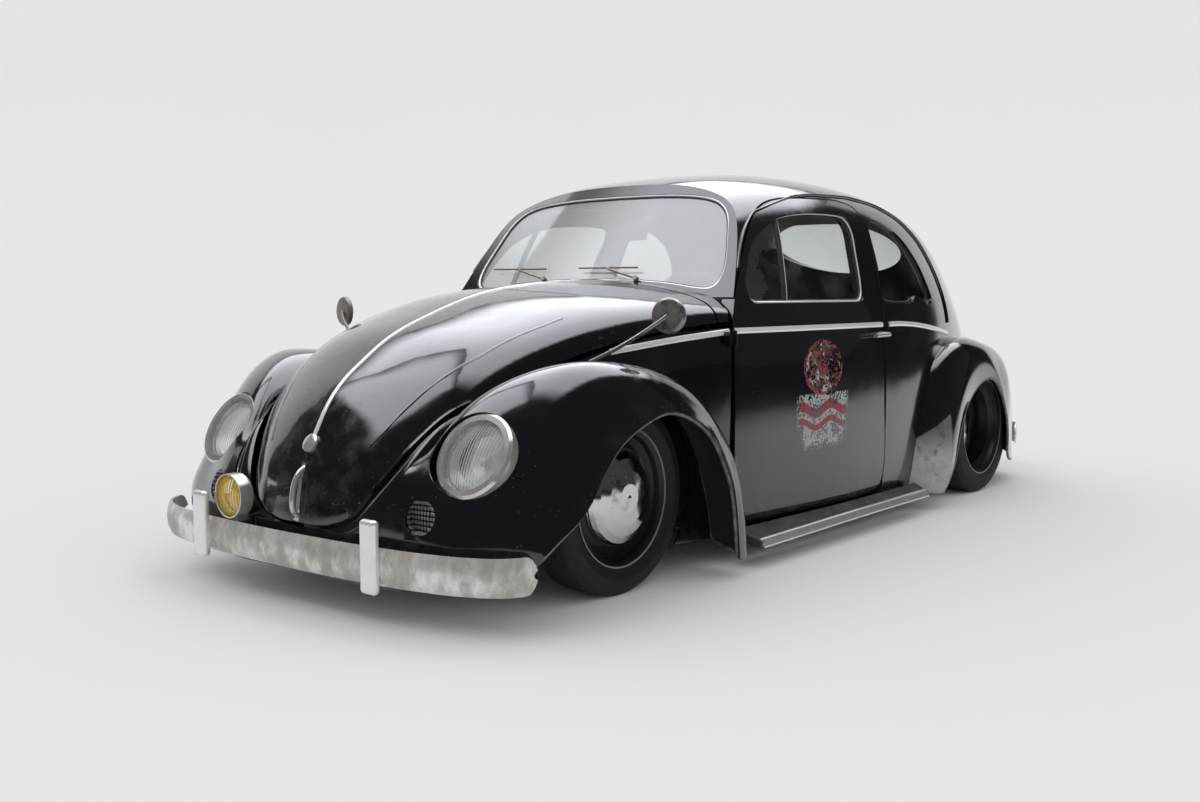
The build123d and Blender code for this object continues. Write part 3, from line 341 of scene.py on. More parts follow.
def door_finish():
    """The gloss, duller and greyer low down."""
    finish = Finish("door_paint")
    height = finish.axis(finish.place, "Z")
    low = finish.span(height, 0.36, 0.10)
    return paint_look(finish, worn=low * 0.6, dusty=low)


def band(finish, value, centre, half, soft=0.002):
    """1 within half of a centre."""
    away = finish.maths("ABSOLUTE", value - centre)
    return finish.span(away, half + soft, half - soft)


def sign_door_finish():
    """The left door: a worn round badge of bands over a pale panel, with no words."""
    finish = Finish("left_door_paint")
    here = finish.mapped(SIGN_CENTRE)
    across = finish.axis(here, "X")
    up = finish.axis(here, "Z")
    height = finish.axis(finish.place, "Z")
    low = finish.span(height, 0.36, 0.10)
    oval = (across / 1.30) ** 2.0 + (up - 0.086) ** 2.0
    disc = finish.span(oval, 0.0092, 0.0088)
    ring = disc * finish.span(oval, 0.0068, 0.0071)
    inner = band(finish, oval, 0.0031, 0.0006, 0.0002) + band(finish, oval, 0.0004, 0.0004, 0.0002)
    patches = finish.span(finish.noise(30.0, 3.0, 0.6), 0.50, 0.56) * disc
    width = finish.maths("ABSOLUTE", across) + finish.span(up, -0.10, -0.20) * 0.045
    panel = (finish.span(width, 0.168, 0.164) * finish.span(up, -0.196, -0.190)
             * finish.span(up, 0.000, -0.005))
    edge = panel * (1.0 - finish.span(width, 0.154, 0.150) * finish.span(up, -0.182, -0.178))
    wave = finish.maths("SINE", across * 34.0) * 0.014
    waves = band(finish, up + wave, -0.055, 0.017) + band(finish, up + wave, -0.105, 0.011)
    old_red = (0.27, 0.018, 0.022)
    pale = (0.33, 0.35, 0.31)
    green = (0.16, 0.20, 0.17)
    art = finish.mix(disc, pale, (0.030, 0.030, 0.030))
    art = finish.mix(patches, art, pale)
    art = finish.mix(finish.maths("MINIMUM", ring + inner * disc + waves * panel, 1.0), art, old_red)
    art = finish.mix(edge, art, green)
    stain = finish.noise(17.0, 4.0, 0.7)
    art = finish.mix(finish.span(stain, 0.5, 0.8) * 0.5, art, (0.13, 0.08, 0.05))
    flakes = finish.noise(110.0, 3.0, 0.6) * 0.55 + stain * 0.45
    kept = finish.maths("MINIMUM", disc + panel, 1.0) * finish.span(flakes, 0.470, 0.510)
    return paint_look(finish, worn=low * 0.6, dusty=low, extra=(kept, art, 0.45))


def chrome_finish(name, stain, tint=(0.62, 0.61, 0.585), clean=0.0, mirror=1.0):
    """Aged bright metal with brown stains. clean keeps the overriders bright, mirror below 1 is satin."""
    finish = Finish(name)
    level = stain * (0.5 + bpy.context.scene.car_wear.stains)
    runs = finish.noise(16.0, 5.0, 0.72, finish.mapped(scale=(1.0, 1.0, 0.55)))
    dots = finish.spots(95.0)
    cloud = finish.noise(5.0, 3.0)
    side = finish.maths("ABSOLUTE", finish.axis(finish.place, "Y"))
    level = level * (1.0 - band(finish, side, 0.370, 0.034, 0.006) * clean)
    brown = finish.span(runs * 0.7 + cloud * 0.4 + level * 0.12, 0.48, 0.76) * level
    pits = finish.span(dots, 0.22, 0.10) * finish.span(finish.noise(9.0, 3.0), 0.64, 0.70) * level
    brown = finish.maths("MAXIMUM", finish.maths("MINIMUM", brown * 0.75, 1.0), pits)
    shade = finish.mix(finish.noise(45.0, 3.0), (0.090, 0.058, 0.036), (0.20, 0.155, 0.110))
    colour = finish.mix(brown * 0.9, tint, shade)
    haze = finish.span(finish.noise(8.0, 4.0, 0.7), 0.40, 0.75)
    relief = brown * 0.00010 + finish.noise(6.0, 2.0) * (0.0012 * stain)
    return finish.surface(Base_Color=colour, Metallic=(1.0 - brown * 0.75) * mirror,
                          Roughness=0.13 + haze * 0.16 * stain + brown * 0.35,
                          Normal=finish.bump(relief, 1.0, 1.0))


def glass_finish(name, tint, gloss=0.9, bump=None, film=0.0):
    """Thin clear glass: it lets light straight through and reflects at a slant."""
    finish = Finish(name)
    normal = {}
    if bump is not None:
        normal = {"Normal": finish.bump(bump(finish), 1.0, 1.0)}
    rim = finish.node("ShaderNodeFresnel", {}, {"IOR": 1.5, **normal})
    behind = finish.node("ShaderNodeNewGeometry", {}, {}, "Backfacing")
    clear = finish.node("ShaderNodeBsdfTransparent", {}, {"Color": (*tint, 1.0)})
    smear = finish.span(finish.noise(6.0, 5.0, 0.7), 0.42, 0.80) * 0.03 + film
    mirror = finish.node("ShaderNodeBsdfPrincipled", {},
                         {"Base Color": (0.75, 0.77, 0.78, 1.0), "Metallic": 1.0, "Roughness": 0.03,
                          **normal})
    veil = finish.node("ShaderNodeBsdfDiffuse", {}, {"Color": (*(0.74 * part for part in tint), 1.0)})
    dusty = finish.node("ShaderNodeMixShader", {}, {0: smear, 1: clear, 2: veil})
    shader = finish.node("ShaderNodeMixShader", {}, {0: rim * gloss * (1.0 - behind), 1: dusty, 2: mirror})
    return finish.output(shader)


def flutes(finish):
    """Upright ribs of a lamp glass."""
    across = finish.axis(finish.place, "Y")
    return finish.maths("PINGPONG", across, 0.0045) * 0.9


def lamp_glass_finish():
    return glass_finish("lamp_glass", (0.92, 0.93, 0.92), 1.0, flutes, 0.16)


def fog_glass_finish():
    return glass_finish("fog_glass", (1.0, 0.80, 0.10), 0.9, flutes, 0.35)


def reflector_finish():
    """The silvered bowl behind a lamp glass."""
    finish = Finish("lamp_reflector")
    cloud = finish.noise(18.0, 4.0)
    colour = finish.mix(cloud, (0.50, 0.50, 0.49), (0.74, 0.74, 0.72))
    return finish.surface(Base_Color=colour, Metallic=0.40, Roughness=0.25 + cloud * 0.2)


def red_lens_finish():
    finish = Finish("red_lens")
    rings = finish.maths("PINGPONG", finish.axis(finish.place, "Z"), 0.004)
    cloud = finish.noise(30.0)
    return finish.surface(Base_Color=finish.mix(cloud, (0.22, 0.008, 0.008), (0.32, 0.014, 0.012)),
                          Roughness=0.12 + cloud * 0.1, Coat_Weight=0.6,
                          Normal=finish.bump(rings, 0.6, 1.0))


def tyre_finish(name, axle, half_width, middle):
    """Black rubber: ribbed tread round the rim with its grooves painted darker as painted shade, plain dusty
    sidewalls.
    """
    finish = Finish(name)
    here = finish.mapped(axle)
    reach = finish.radius(axle)
    across = finish.maths("ABSOLUTE", finish.axis(finish.place, "Y")) - middle
    angle = finish.maths("ARCTAN2", finish.axis(here, "Z"), finish.axis(here, "X"))
    ribs = finish.span(finish.maths("PINGPONG", across, 0.0115), 0.0012, 0.0030)
    slant = angle * 0.283 + finish.maths("PINGPONG", across, 0.023) * 0.9
    sipes = finish.span(finish.maths("PINGPONG", slant, 0.011), 0.0010, 0.0024)
    tread = (finish.span(reach, 0.268, 0.274)
             * finish.span(finish.maths("ABSOLUTE", across), half_width, half_width - 0.01))
    wall_rings = finish.maths("PINGPONG", reach, 0.0085) * (1.0 - tread) * 0.05
    dust = finish.noise(26.0, 4.0, 0.7)
    colour = finish.mix(finish.span(dust, 0.35, 0.8) * 0.6, (0.0055, 0.0055, 0.006), (0.019, 0.0185, 0.018))
    # Painted shade: the grooves between the tread ribs are mixed toward near black.
    colour = finish.mix(tread * (1.0 - ribs) * 0.8, colour, (0.004, 0.004, 0.004))
    height = tread * ribs * sipes * 0.0022 + wall_rings + dust * 0.00012
    return finish.surface(Base_Color=colour, Roughness=0.56 + dust * 0.25,
                          Normal=finish.bump(height, 1.0, 1.0))


def wheel_finish(name, axle):
    """Black steel with a thin ring by the tyre painted faintly toward chrome as a painted highlight on the
    rim's edge, and a chromed domed cap.
    """
    finish = Finish(name)
    reach = finish.radius(axle)
    cap = finish.span(reach, CAP_EDGE + 0.0005, CAP_EDGE - 0.0005)
    # Painted highlight: a thin ring at the rim's edge, mixed 30% toward the chrome colour and metal.
    line = finish.span(reach, 0.1975, 0.1985) * finish.span(reach, 0.2035, 0.2025)
    bright = finish.maths("MAXIMUM", cap, line * 0.30)
    speck = finish.span(finish.spots(150.0), 0.24, 0.10) * finish.span(finish.noise(20.0, 3.0), 0.50, 0.62)
    smear = finish.span(finish.noise(13.0, 5.0, 0.7), 0.52, 0.72)
    chrome = finish.mix(smear * 0.55, (0.63, 0.62, 0.60), (0.36, 0.27, 0.20))
    chrome = finish.mix(speck, chrome, (0.12, 0.055, 0.03))
    dust = finish.noise(30.0, 4.0)
    black = finish.mix(dust * 0.6, (0.003, 0.003, 0.0035), (0.012, 0.012, 0.012))
    colour = finish.mix(bright, black, chrome)
    rough = finish.level(bright, 0.30 + dust * 0.25, 0.09 + smear * 0.18 + speck * 0.5)
    return finish.surface(Base_Color=colour, Metallic=bright * (1.0 - speck * 0.8), Roughness=rough,
                          Normal=finish.bump(finish.noise(9.0) * 0.0006 - speck * 0.0001, 1.0, 1.0))


def plain_finish(name, dark, light, rough, scale=30.0, relief=0.0003, metallic=0.0, coat=0.0):
    """A cloudy, slightly uneven surface between two shades."""
    finish = Finish(name)
    cloud = finish.noise(scale, 5.0, 0.65)
    grain = finish.noise(scale * 7.0, 2.0)
    colour = finish.mix(finish.span(cloud, 0.3, 0.75), dark, light)
    return finish.surface(Base_Color=colour, Metallic=metallic, Roughness=rough * 0.8 + cloud * rough * 0.4,
                          Coat_Weight=coat, Normal=finish.bump(cloud * relief + grain * relief * 0.4, 1.0, 1.0))


def mat_finish():
    """Ribbed rubber of the running boards, worn dusty, with painted shade darkening the grooves between the
    ribs.
    """
    finish = Finish("board_mat")
    across = finish.maths("PINGPONG", finish.axis(finish.place, "Y"), 0.005)
    rib = finish.span(across, 0.0012, 0.0028)
    dust = finish.noise(11.0, 5.0, 0.7)
    colour = finish.mix(finish.span(dust, 0.38, 0.72), (0.018, 0.018, 0.018), (0.085, 0.080, 0.072))
    # Painted shade: the grooves between the ribs are mixed toward near black.
    colour = finish.mix((1.0 - rib) * 0.5, colour, (0.010, 0.010, 0.010))
    return finish.surface(Base_Color=colour, Roughness=0.55 + dust * 0.3,
                          Normal=finish.bump(rib * 0.0012, 1.0, 1.0))


def cloth_finish(name, dark, light, pitch=0.0022):
    """Woven cloth: crossed threads, sheen and faded patches."""
    finish = Finish(name)
    thread_x = finish.maths("PINGPONG", finish.axis(finish.place, "X"), pitch)
    thread_y = finish.maths("PINGPONG", finish.axis(finish.place, "Y"), pitch)
    thread_z = finish.maths("PINGPONG", finish.axis(finish.place, "Z"), pitch)
    weave = (thread_x + thread_y + thread_z) / pitch
    fade = finish.noise(7.0, 5.0, 0.65)
    colour = finish.mix(finish.span(fade, 0.32, 0.72), dark, light)
    colour = finish.mix(weave * 0.12, colour, (0.05, 0.04, 0.03))
    return finish.surface(Base_Color=colour, Roughness=0.75 + fade * 0.15, Sheen_Weight=0.25,
                          Normal=finish.bump(weave * 0.00025, 1.0, 1.0))


def grille_finish():
    """Bright oval face with slots painted near black as painted shade in the openings."""
    finish = Finish("horn_grille")
    slots = finish.maths("PINGPONG", finish.axis(finish.place, "Z"), 0.0065)
    bar = finish.span(slots, 0.0022, 0.0036)
    cloud = finish.noise(30.0, 4.0)
    # Painted shade: the slots between the bars are near black, standing in for the dark behind the openings.
    colour = finish.mix(bar, (0.012, 0.012, 0.012), finish.mix(cloud, (0.28, 0.25, 0.22), (0.55, 0.53, 0.5)))
    return finish.surface(Base_Color=colour, Metallic=bar * 0.9, Roughness=0.35 + cloud * 0.25,
                          Normal=finish.bump(bar * 0.002, 1.0, 1.0))


def finishes():
    """Every finish by the name that the pieces use."""
    made = {
        "body": body_finish(), "hood": hood_finish(), "front_fender": front_fender_finish(),
        "rear_fender": rear_fender_finish(), "door": door_finish(), "sign_door": sign_door_finish(),
        "bumper": chrome_finish("bumper_chrome", 1.0, (0.78, 0.77, 0.74), 0.95, 0.5),
        "bright": chrome_finish("trim_chrome", 0.12, (0.82, 0.82, 0.81), mirror=0.4),
        "ring": chrome_finish("lamp_ring_chrome", 0.40, mirror=0.75),
        "edge": chrome_finish("board_edge_aluminium", 0.15, (0.74, 0.74, 0.73), mirror=0.75),
        "mirror_metal": chrome_finish("mirror_chrome", 1.0, (0.30, 0.29, 0.28)),
        "windscreen": glass_finish("windscreen_glass", (0.955, 0.965, 0.960), 1.8, film=0.38),
        "window": glass_finish("window_glass", (0.955, 0.965, 0.960), 1.5),
        "lamp_glass": lamp_glass_finish(), "fog_glass": fog_glass_finish(),
        "reflector": reflector_finish(), "red_lens": red_lens_finish(), "grille": grille_finish(),
        "front_tyre": tyre_finish("front_tyre_rubber", FRONT_AXLE, 0.066, 0.553),
        "rear_tyre": tyre_finish("rear_tyre_rubber", REAR_AXLE, 0.074, 0.624),
        "front_wheel": wheel_finish("front_wheel_steel", FRONT_AXLE),
        "rear_wheel": wheel_finish("rear_wheel_steel", REAR_AXLE),
        "bead": plain_finish("worn_lip", (0.020, 0.021, 0.024), (0.17, 0.17, 0.175), 0.34, 26.0, 0.0002, 0.2),
        "rubber": plain_finish("window_rubber", (0.008, 0.008, 0.008), (0.022, 0.022, 0.021), 0.55),
        "board": mat_finish(),
        # Near black, darker than bare undercoat: partly the underside's own black, partly painted shade, since
        # it also fills the wheel arches.
        "under": plain_finish("underbody_steel", (0.006, 0.006, 0.006), (0.020, 0.018, 0.016),
                              0.75, 14.0, 0.0008),
        "floor": plain_finish("floor_paint", (0.008, 0.008, 0.009), (0.024, 0.023, 0.022),
                              0.65, 12.0, 0.0005),
        "dash": plain_finish("dash_paint", (0.010, 0.012, 0.016), (0.018, 0.021, 0.027),
                             0.25, 9.0, 0.0001, 0.0, 0.8),
        "ivory": plain_finish("ivory_plastic", (0.62, 0.58, 0.48), (0.72, 0.69, 0.60),
                              0.28, 20.0, 0.0001, 0.0, 0.4),
        "headliner": cloth_finish("headliner_cloth", (0.40, 0.375, 0.33), (0.50, 0.475, 0.43), 0.0016),
        "card": cloth_finish("door_card", (0.15, 0.115, 0.080), (0.22, 0.175, 0.125), 0.0030),
        "seat": cloth_finish("seat_cloth", (0.30, 0.155, 0.070), (0.42, 0.245, 0.125), 0.0026),
    }
    return made


# ---------------------------------------------------------------- pieces

def emit(shape, name, body, finish, smooth=True):
    """Makes a shown piece of a bmesh and frees it."""
    mesh = bpy.data.meshes.new(name)
    shape.to_mesh(mesh)
    shape.free()
    piece = bpy.data.objects.new(name, mesh)
    bpy.context.scene.collection.objects.link(piece)
    mesh.materials.append(finish)
    mesh.shade_smooth() if smooth else mesh.shade_flat()
    if smooth:
        mesh.set_sharp_from_angle(angle=SHARP)
    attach(piece, body)
    return piece


def merged(node):
    """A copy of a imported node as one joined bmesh."""
    shape = bmesh.new()
    shape.from_mesh(frame["nodes"][node].data)
    bmesh.ops.remove_doubles(shape, verts=shape.verts, dist=2e-5)
    return shape


def with_normals(node):
    """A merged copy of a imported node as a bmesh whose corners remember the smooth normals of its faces."""
    spare = frame["nodes"][node].data.copy()
    values = [0.0] * (3 * len(spare.loops))
    spare.corner_normals.foreach_get("vector", values)
    spare.attributes.new(NORMALS, "FLOAT_VECTOR", "CORNER").data.foreach_set("vector", values)
    shape = bmesh.new()
    shape.from_mesh(spare)
    bpy.data.meshes.remove(spare)
    bmesh.ops.remove_doubles(shape, verts=shape.verts, dist=2e-5)
    return shape


def renormalled(piece):
    """Puts the remembered normals back, apart from those that turn away from their face."""
    mesh = piece.data
    kept = mesh.attributes[NORMALS]
    normals = [corner.vector.copy() for corner in kept.data]
    for face in mesh.polygons:
        for corner in face.loop_indices:
            if normals[corner].dot(face.normal) < 0.3:
                normals[corner] = Vector((0, 0, 0))
    mesh.attributes.remove(kept)
    mesh.normals_split_custom_set(normals)


def body_of(node):
    """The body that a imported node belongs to."""
    return NODE_BODY[node]


def faced(piece, finish, chosen):
    """Gives the faces that are chosen by their centre and normal their own finish."""
    index = len(piece.data.materials)
    piece.data.materials.append(finish)
    for face in piece.data.polygons:
        if chosen(face.center, face.normal):
            face.material_index = index


def into_cabin(centre, normal):
    """True for a face whose outside looks towards the middle of the cabin."""
    towards = Vector((max(-0.75, min(0.45, centre.x)), 0.0, 0.62)) - centre
    within = -1.20 < centre.x < 0.74 and centre.z > 0.12
    return within and normal.dot(towards.normalized()) > 0.60 and abs(normal.x) < 0.45


def on_seam(centre, normal):
    """True on the narrow faces of the joint behind a door."""
    return abs(normal.x) > 0.60 and -0.27 < centre.x < -0.15 and abs(centre.y) > 0.40


def hood_grip(centre, normal):
    """True on the bowed grip, which stands off the tip of the hood."""
    return abs(centre.y) < 0.0085 and 0.244 < centre.z < 0.401 and centre.x > 1.905 + 0.10 * (0.40 - centre.z)


def door_lever(centre, normal):
    """True on the lever handle of a door."""
    return -0.166 < centre.x < -0.050 and 0.690 < centre.z < 0.722 and abs(centre.y) > 0.690


def into_arch(centre, normal):
    """True for the underside of a fender."""
    axle = FRONT_AXLE if centre.x > 0 else REAR_AXLE
    inside = Vector((axle[0], 0.50 if centre.y > 0 else -0.50, 0.15)) - centre
    return normal.dot(inside.normalized()) > 0.25


def sweep(shape, path, normals, width, height, closed=False, sides=12):
    """Adds a strip of oval section along a path, its width lying on the surface that has these normals."""
    count = len(path)
    rings = []
    for index, point in enumerate(path):
        ahead = path[(index + 1) % count] if closed or index < count - 1 else point
        behind = path[index - 1] if closed or index > 0 else point
        along = (ahead - behind).normalized()
        out = (normals[index] - along * normals[index].dot(along)).normalized()
        side = along.cross(out)
        place = Matrix((side * (width / 2), out * (height / 2), along)).transposed().to_4x4()
        place.translation = point
        ends = not closed and index in (0, count - 1)
        ring = bmesh.ops.create_circle(shape, cap_ends=ends, segments=sides, radius=1.0, matrix=place)
        corners = ring["verts"]
        rings.append(list(dict.fromkeys(edge for corner in corners for edge in corner.link_edges)))
    pairs = list(zip(rings, rings[1:]))
    if closed:
        pairs.append((rings[-1], rings[0]))
    for first, second in pairs:
        bmesh.ops.bridge_loops(shape, edges=first + second)
    bmesh.ops.recalc_face_normals(shape, faces=shape.faces)
    return shape


def strip(name, path, normals, width, height, body, finish, closed=False, sides=12):
    """A piece that is one swept strip."""
    shape = sweep(bmesh.new(), path, normals, width, height, closed, sides)
    return emit(shape, name, body, finish)


def join(name, pieces_of, body, finish):
    """A piece made of several swept strips, each (path, normals, width, height, closed)."""
    shape = bmesh.new()
    for path, normals, width, height, closed in pieces_of:
        part = sweep(bmesh.new(), path, normals, width, height, closed)
        spare = bpy.data.meshes.new(name + "_part")
        part.to_mesh(spare)
        part.free()
        shape.from_mesh(spare)
        bpy.data.meshes.remove(spare)
    return emit(shape, name, body, finish)


def resampled(path, step, closed=False):
    """Points at even steps along a path, slightly smoothed."""
    line = list(path) + ([path[0]] if closed else [])
    lengths = [0.0]
    for first, second in zip(line, line[1:]):
        lengths.append(lengths[-1] + (second - first).length)
    count = max(2, round(lengths[-1] / step))
    spots = []
    place = 0
    for index in range(count if closed else count + 1):
        want = lengths[-1] * index / count
        while place < len(lengths) - 2 and lengths[place + 1] < want:
            place += 1
        share = (want - lengths[place]) / max(lengths[place + 1] - lengths[place], 1e-9)
        spots.append(line[place].lerp(line[place + 1], share))
    return spots


def softened(path, rounds, closed=True):
    """The same path with its corners eased."""
    for _ in range(rounds):
        fresh = []
        for index, point in enumerate(path):
            if not closed and index in (0, len(path) - 1):
                fresh.append(point)
                continue
            around = (path[index - 1] + path[(index + 1) % len(path)]) / 2
            fresh.append(point.lerp(around, 0.5))
        path = fresh
    return path


def outlines(node, outward):
    """The closed edges of the faces of a node that look one way, longest first."""
    shape = merged(node)
    rim = {}
    for edge in shape.edges:
        looking = [face.normal.dot(outward) > 0.48 for face in edge.link_faces]
        if len(looking) == 2 and looking[0] != looking[1] and edge.calc_face_angle(0) > radians(40):
            rim[edge] = True
    chains = []
    while rim:
        edge = next(iter(rim))
        del rim[edge]
        chain = [edge.verts[0], edge.verts[1]]
        while chain[-1] is not chain[0]:
            step = next((e for e in chain[-1].link_edges if e in rim), None)
            if step is None:
                break
            del rim[step]
            chain.append(step.other_vert(chain[-1]))
        closed = chain[-1] is chain[0]
        chains.append([corner.co.copy() for corner in (chain[:-1] if closed else chain)])
    shape.free()
    return sorted(chains, key=lambda chain: -sum((p - q).length for p, q in zip(chain, chain[1:])))


def ray_tree(*nodes):
    """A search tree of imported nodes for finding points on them."""
    shape = bmesh.new()
    for node in nodes:
        shape.from_mesh(frame["nodes"][node].data)
    tree = BVHTree.FromBMesh(shape)
    shape.free()
    return tree


def on_surface(tree, spots, start, direction):
    """Where rays from beyond the car meet it: points and normals, without the spots past its edge."""
    casts = [tree.ray_cast(Vector(spot) + Vector(start), Vector(direction), 3.0) for spot in spots]
    met = [(hit, normal) for hit, normal, _, _ in casts if hit is not None]
    if len(met) < 0.8 * len(casts):
        raise RuntimeError("too little of the car lies under a strip")
    return [hit for hit, _ in met], [normal for _, normal in met]


# ---------------------------------------------------------------- operators

PAINTED = {
    "hood": "hood", "fender_front_left": "front_fender", "fender_front_right": "front_fender",
    "fender_rear_left": "rear_fender", "fender_rear_right": "rear_fender",
    "door_left": "sign_door", "door_right": "door",
}
SLOT_LOOKS = {
    "body_paint": "body", "window_glass": "window", "lamp_glass": "lamp_glass", "amber_glass": "fog_glass",
    "red_lens": "red_lens", "bright_metal": "bumper", "rusty_metal": "mirror_metal", "trim_metal": "bright",
    "tyre_rubber": "front_tyre", "wheel_steel": "front_wheel", "underbody_steel": "under",
    "floor_paint": "floor", "board_rubber": "board", "dash_paint": "dash", "ivory_plastic": "ivory",
    "seat_cloth": "seat",
}
OWN_LOOKS = {
    "windscreen": "windscreen",
    "headlamps": "ring", "fog_lamp": "ring", "horn_grilles": "grille", "wipers": "mirror_metal",
    "tyre_rear_left": "rear_tyre", "tyre_rear_right": "rear_tyre",
    "wheel_rear_left": "rear_wheel", "wheel_rear_right": "rear_wheel",
}
PADDED_NODES = ("front_seats", "rear_seat")
LINED_NODES = {
    "roof_shell": "headliner", "quarter_panel_left": "headliner", "quarter_panel_right": "headliner",
    "rear_panel": "headliner", "door_left": "card", "door_right": "card",
}
NODE_SLOT = {row["node"]: row["material_slot"] for row in frame["record"]["subparts"]}
NODE_BODY = {node: body for body, nodes in frame["record"]["behaviour"]["bodies"].items() for node in nodes}
LOOKS = {}


class CAR_OT_panels(bpy.types.Operator):
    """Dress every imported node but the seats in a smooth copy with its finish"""

    bl_idname = "car.panels"
    bl_label = "Panels"

    def execute(self, context):
        LOOKS.update(finishes())
        for node in frame["nodes"]:
            if node in PADDED_NODES:
                continue
            slot = NODE_SLOT[node]
            look = PAINTED.get(node) or OWN_LOOKS.get(node) or SLOT_LOOKS[slot]
            piece = emit(with_normals(node), node + "_look", body_of(node), LOOKS[look])
            renormalled(piece)
            if node in LINED_NODES:
                faced(piece, LOOKS[LINED_NODES[node]], into_cabin)
                faced(piece, LOOKS["rubber"], on_seam)
            # The fender undersides take the near-black underbody finish: their own dark underside and partly
            # painted shade in the arches.
            if node.startswith("fender"):
                faced(piece, LOOKS["under"], into_arch)
            if node == "hood":
                faced(piece, LOOKS["ring"], hood_grip)
            if node in ("door_left", "door_right"):
                faced(piece, LOOKS["ring"], door_lever)
            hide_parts(node)
        return {"FINISHED"}


class CAR_OT_windows(bpy.types.Operator):
    """Set each pane in rubber with a bright insert"""

    bl_idname = "car.windows"
    bl_label = "Window Trim"

    def execute(self, context):
        sizes = context.scene.car_trim
        panes = {
            "windscreen": (Vector((0.86, 0, 0.51)),),
            "door_glass_left": (Vector((0, 0.95, 0.30)),),
            "door_glass_right": (Vector((0, -0.95, 0.30)),),
            "quarter_glass": (Vector((-0.1, 0.95, 0.30)), Vector((-0.1, -0.95, 0.30))),
        }
        for node, looks_out in panes.items():
            rubbers, inserts = [], []
            for outward in looks_out:
                rounds = 9 if node == "quarter_glass" else 2
                line = softened(resampled(outlines(node, outward)[0], 0.018, True), rounds)
                ways = [outward] * len(line)
                rubbers.append((line, ways, sizes.rubber, 0.010, True))
                raised = [point + outward * 0.0045 for point in line]
                inserts.append((raised, ways, sizes.insert, 0.006, True))
            join(node + "_rubber", rubbers, body_of(node), LOOKS["rubber"])
            join(node + "_insert", inserts, body_of(node), LOOKS["bright"])
        self.rear(sizes)
        return {"FINISHED"}

    def rear(self, sizes):
        """The oval rear window's rubber, laid on the curved back of the roof."""
        low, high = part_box("rear_window")
        lap = 0.010
        middle = (low[2] + high[2]) / 2
        wide, tall = high[1] + lap, high[2] - middle + lap
        tree = ray_tree("rear_window", "rear_panel", "roof_shell")
        spots = []
        for index in range(72):
            turn = 2 * pi * index / 72
            spots.append((0.0, wide * cos(turn), middle + tall * sin(turn)))
        points, normals = on_surface(tree, spots, (-2.2, 0, 0), (1, 0, 0))
        points = softened(points, 2)
        strip("rear_window_rubber", points, normals, sizes.rubber, 0.010, "car_body",
              LOOKS["rubber"], True)
        raised = [point + normal * 0.0045 for point, normal in zip(points, normals)]
        strip("rear_window_insert", raised, normals, sizes.insert, 0.006, "car_body",
              LOOKS["bright"], True)


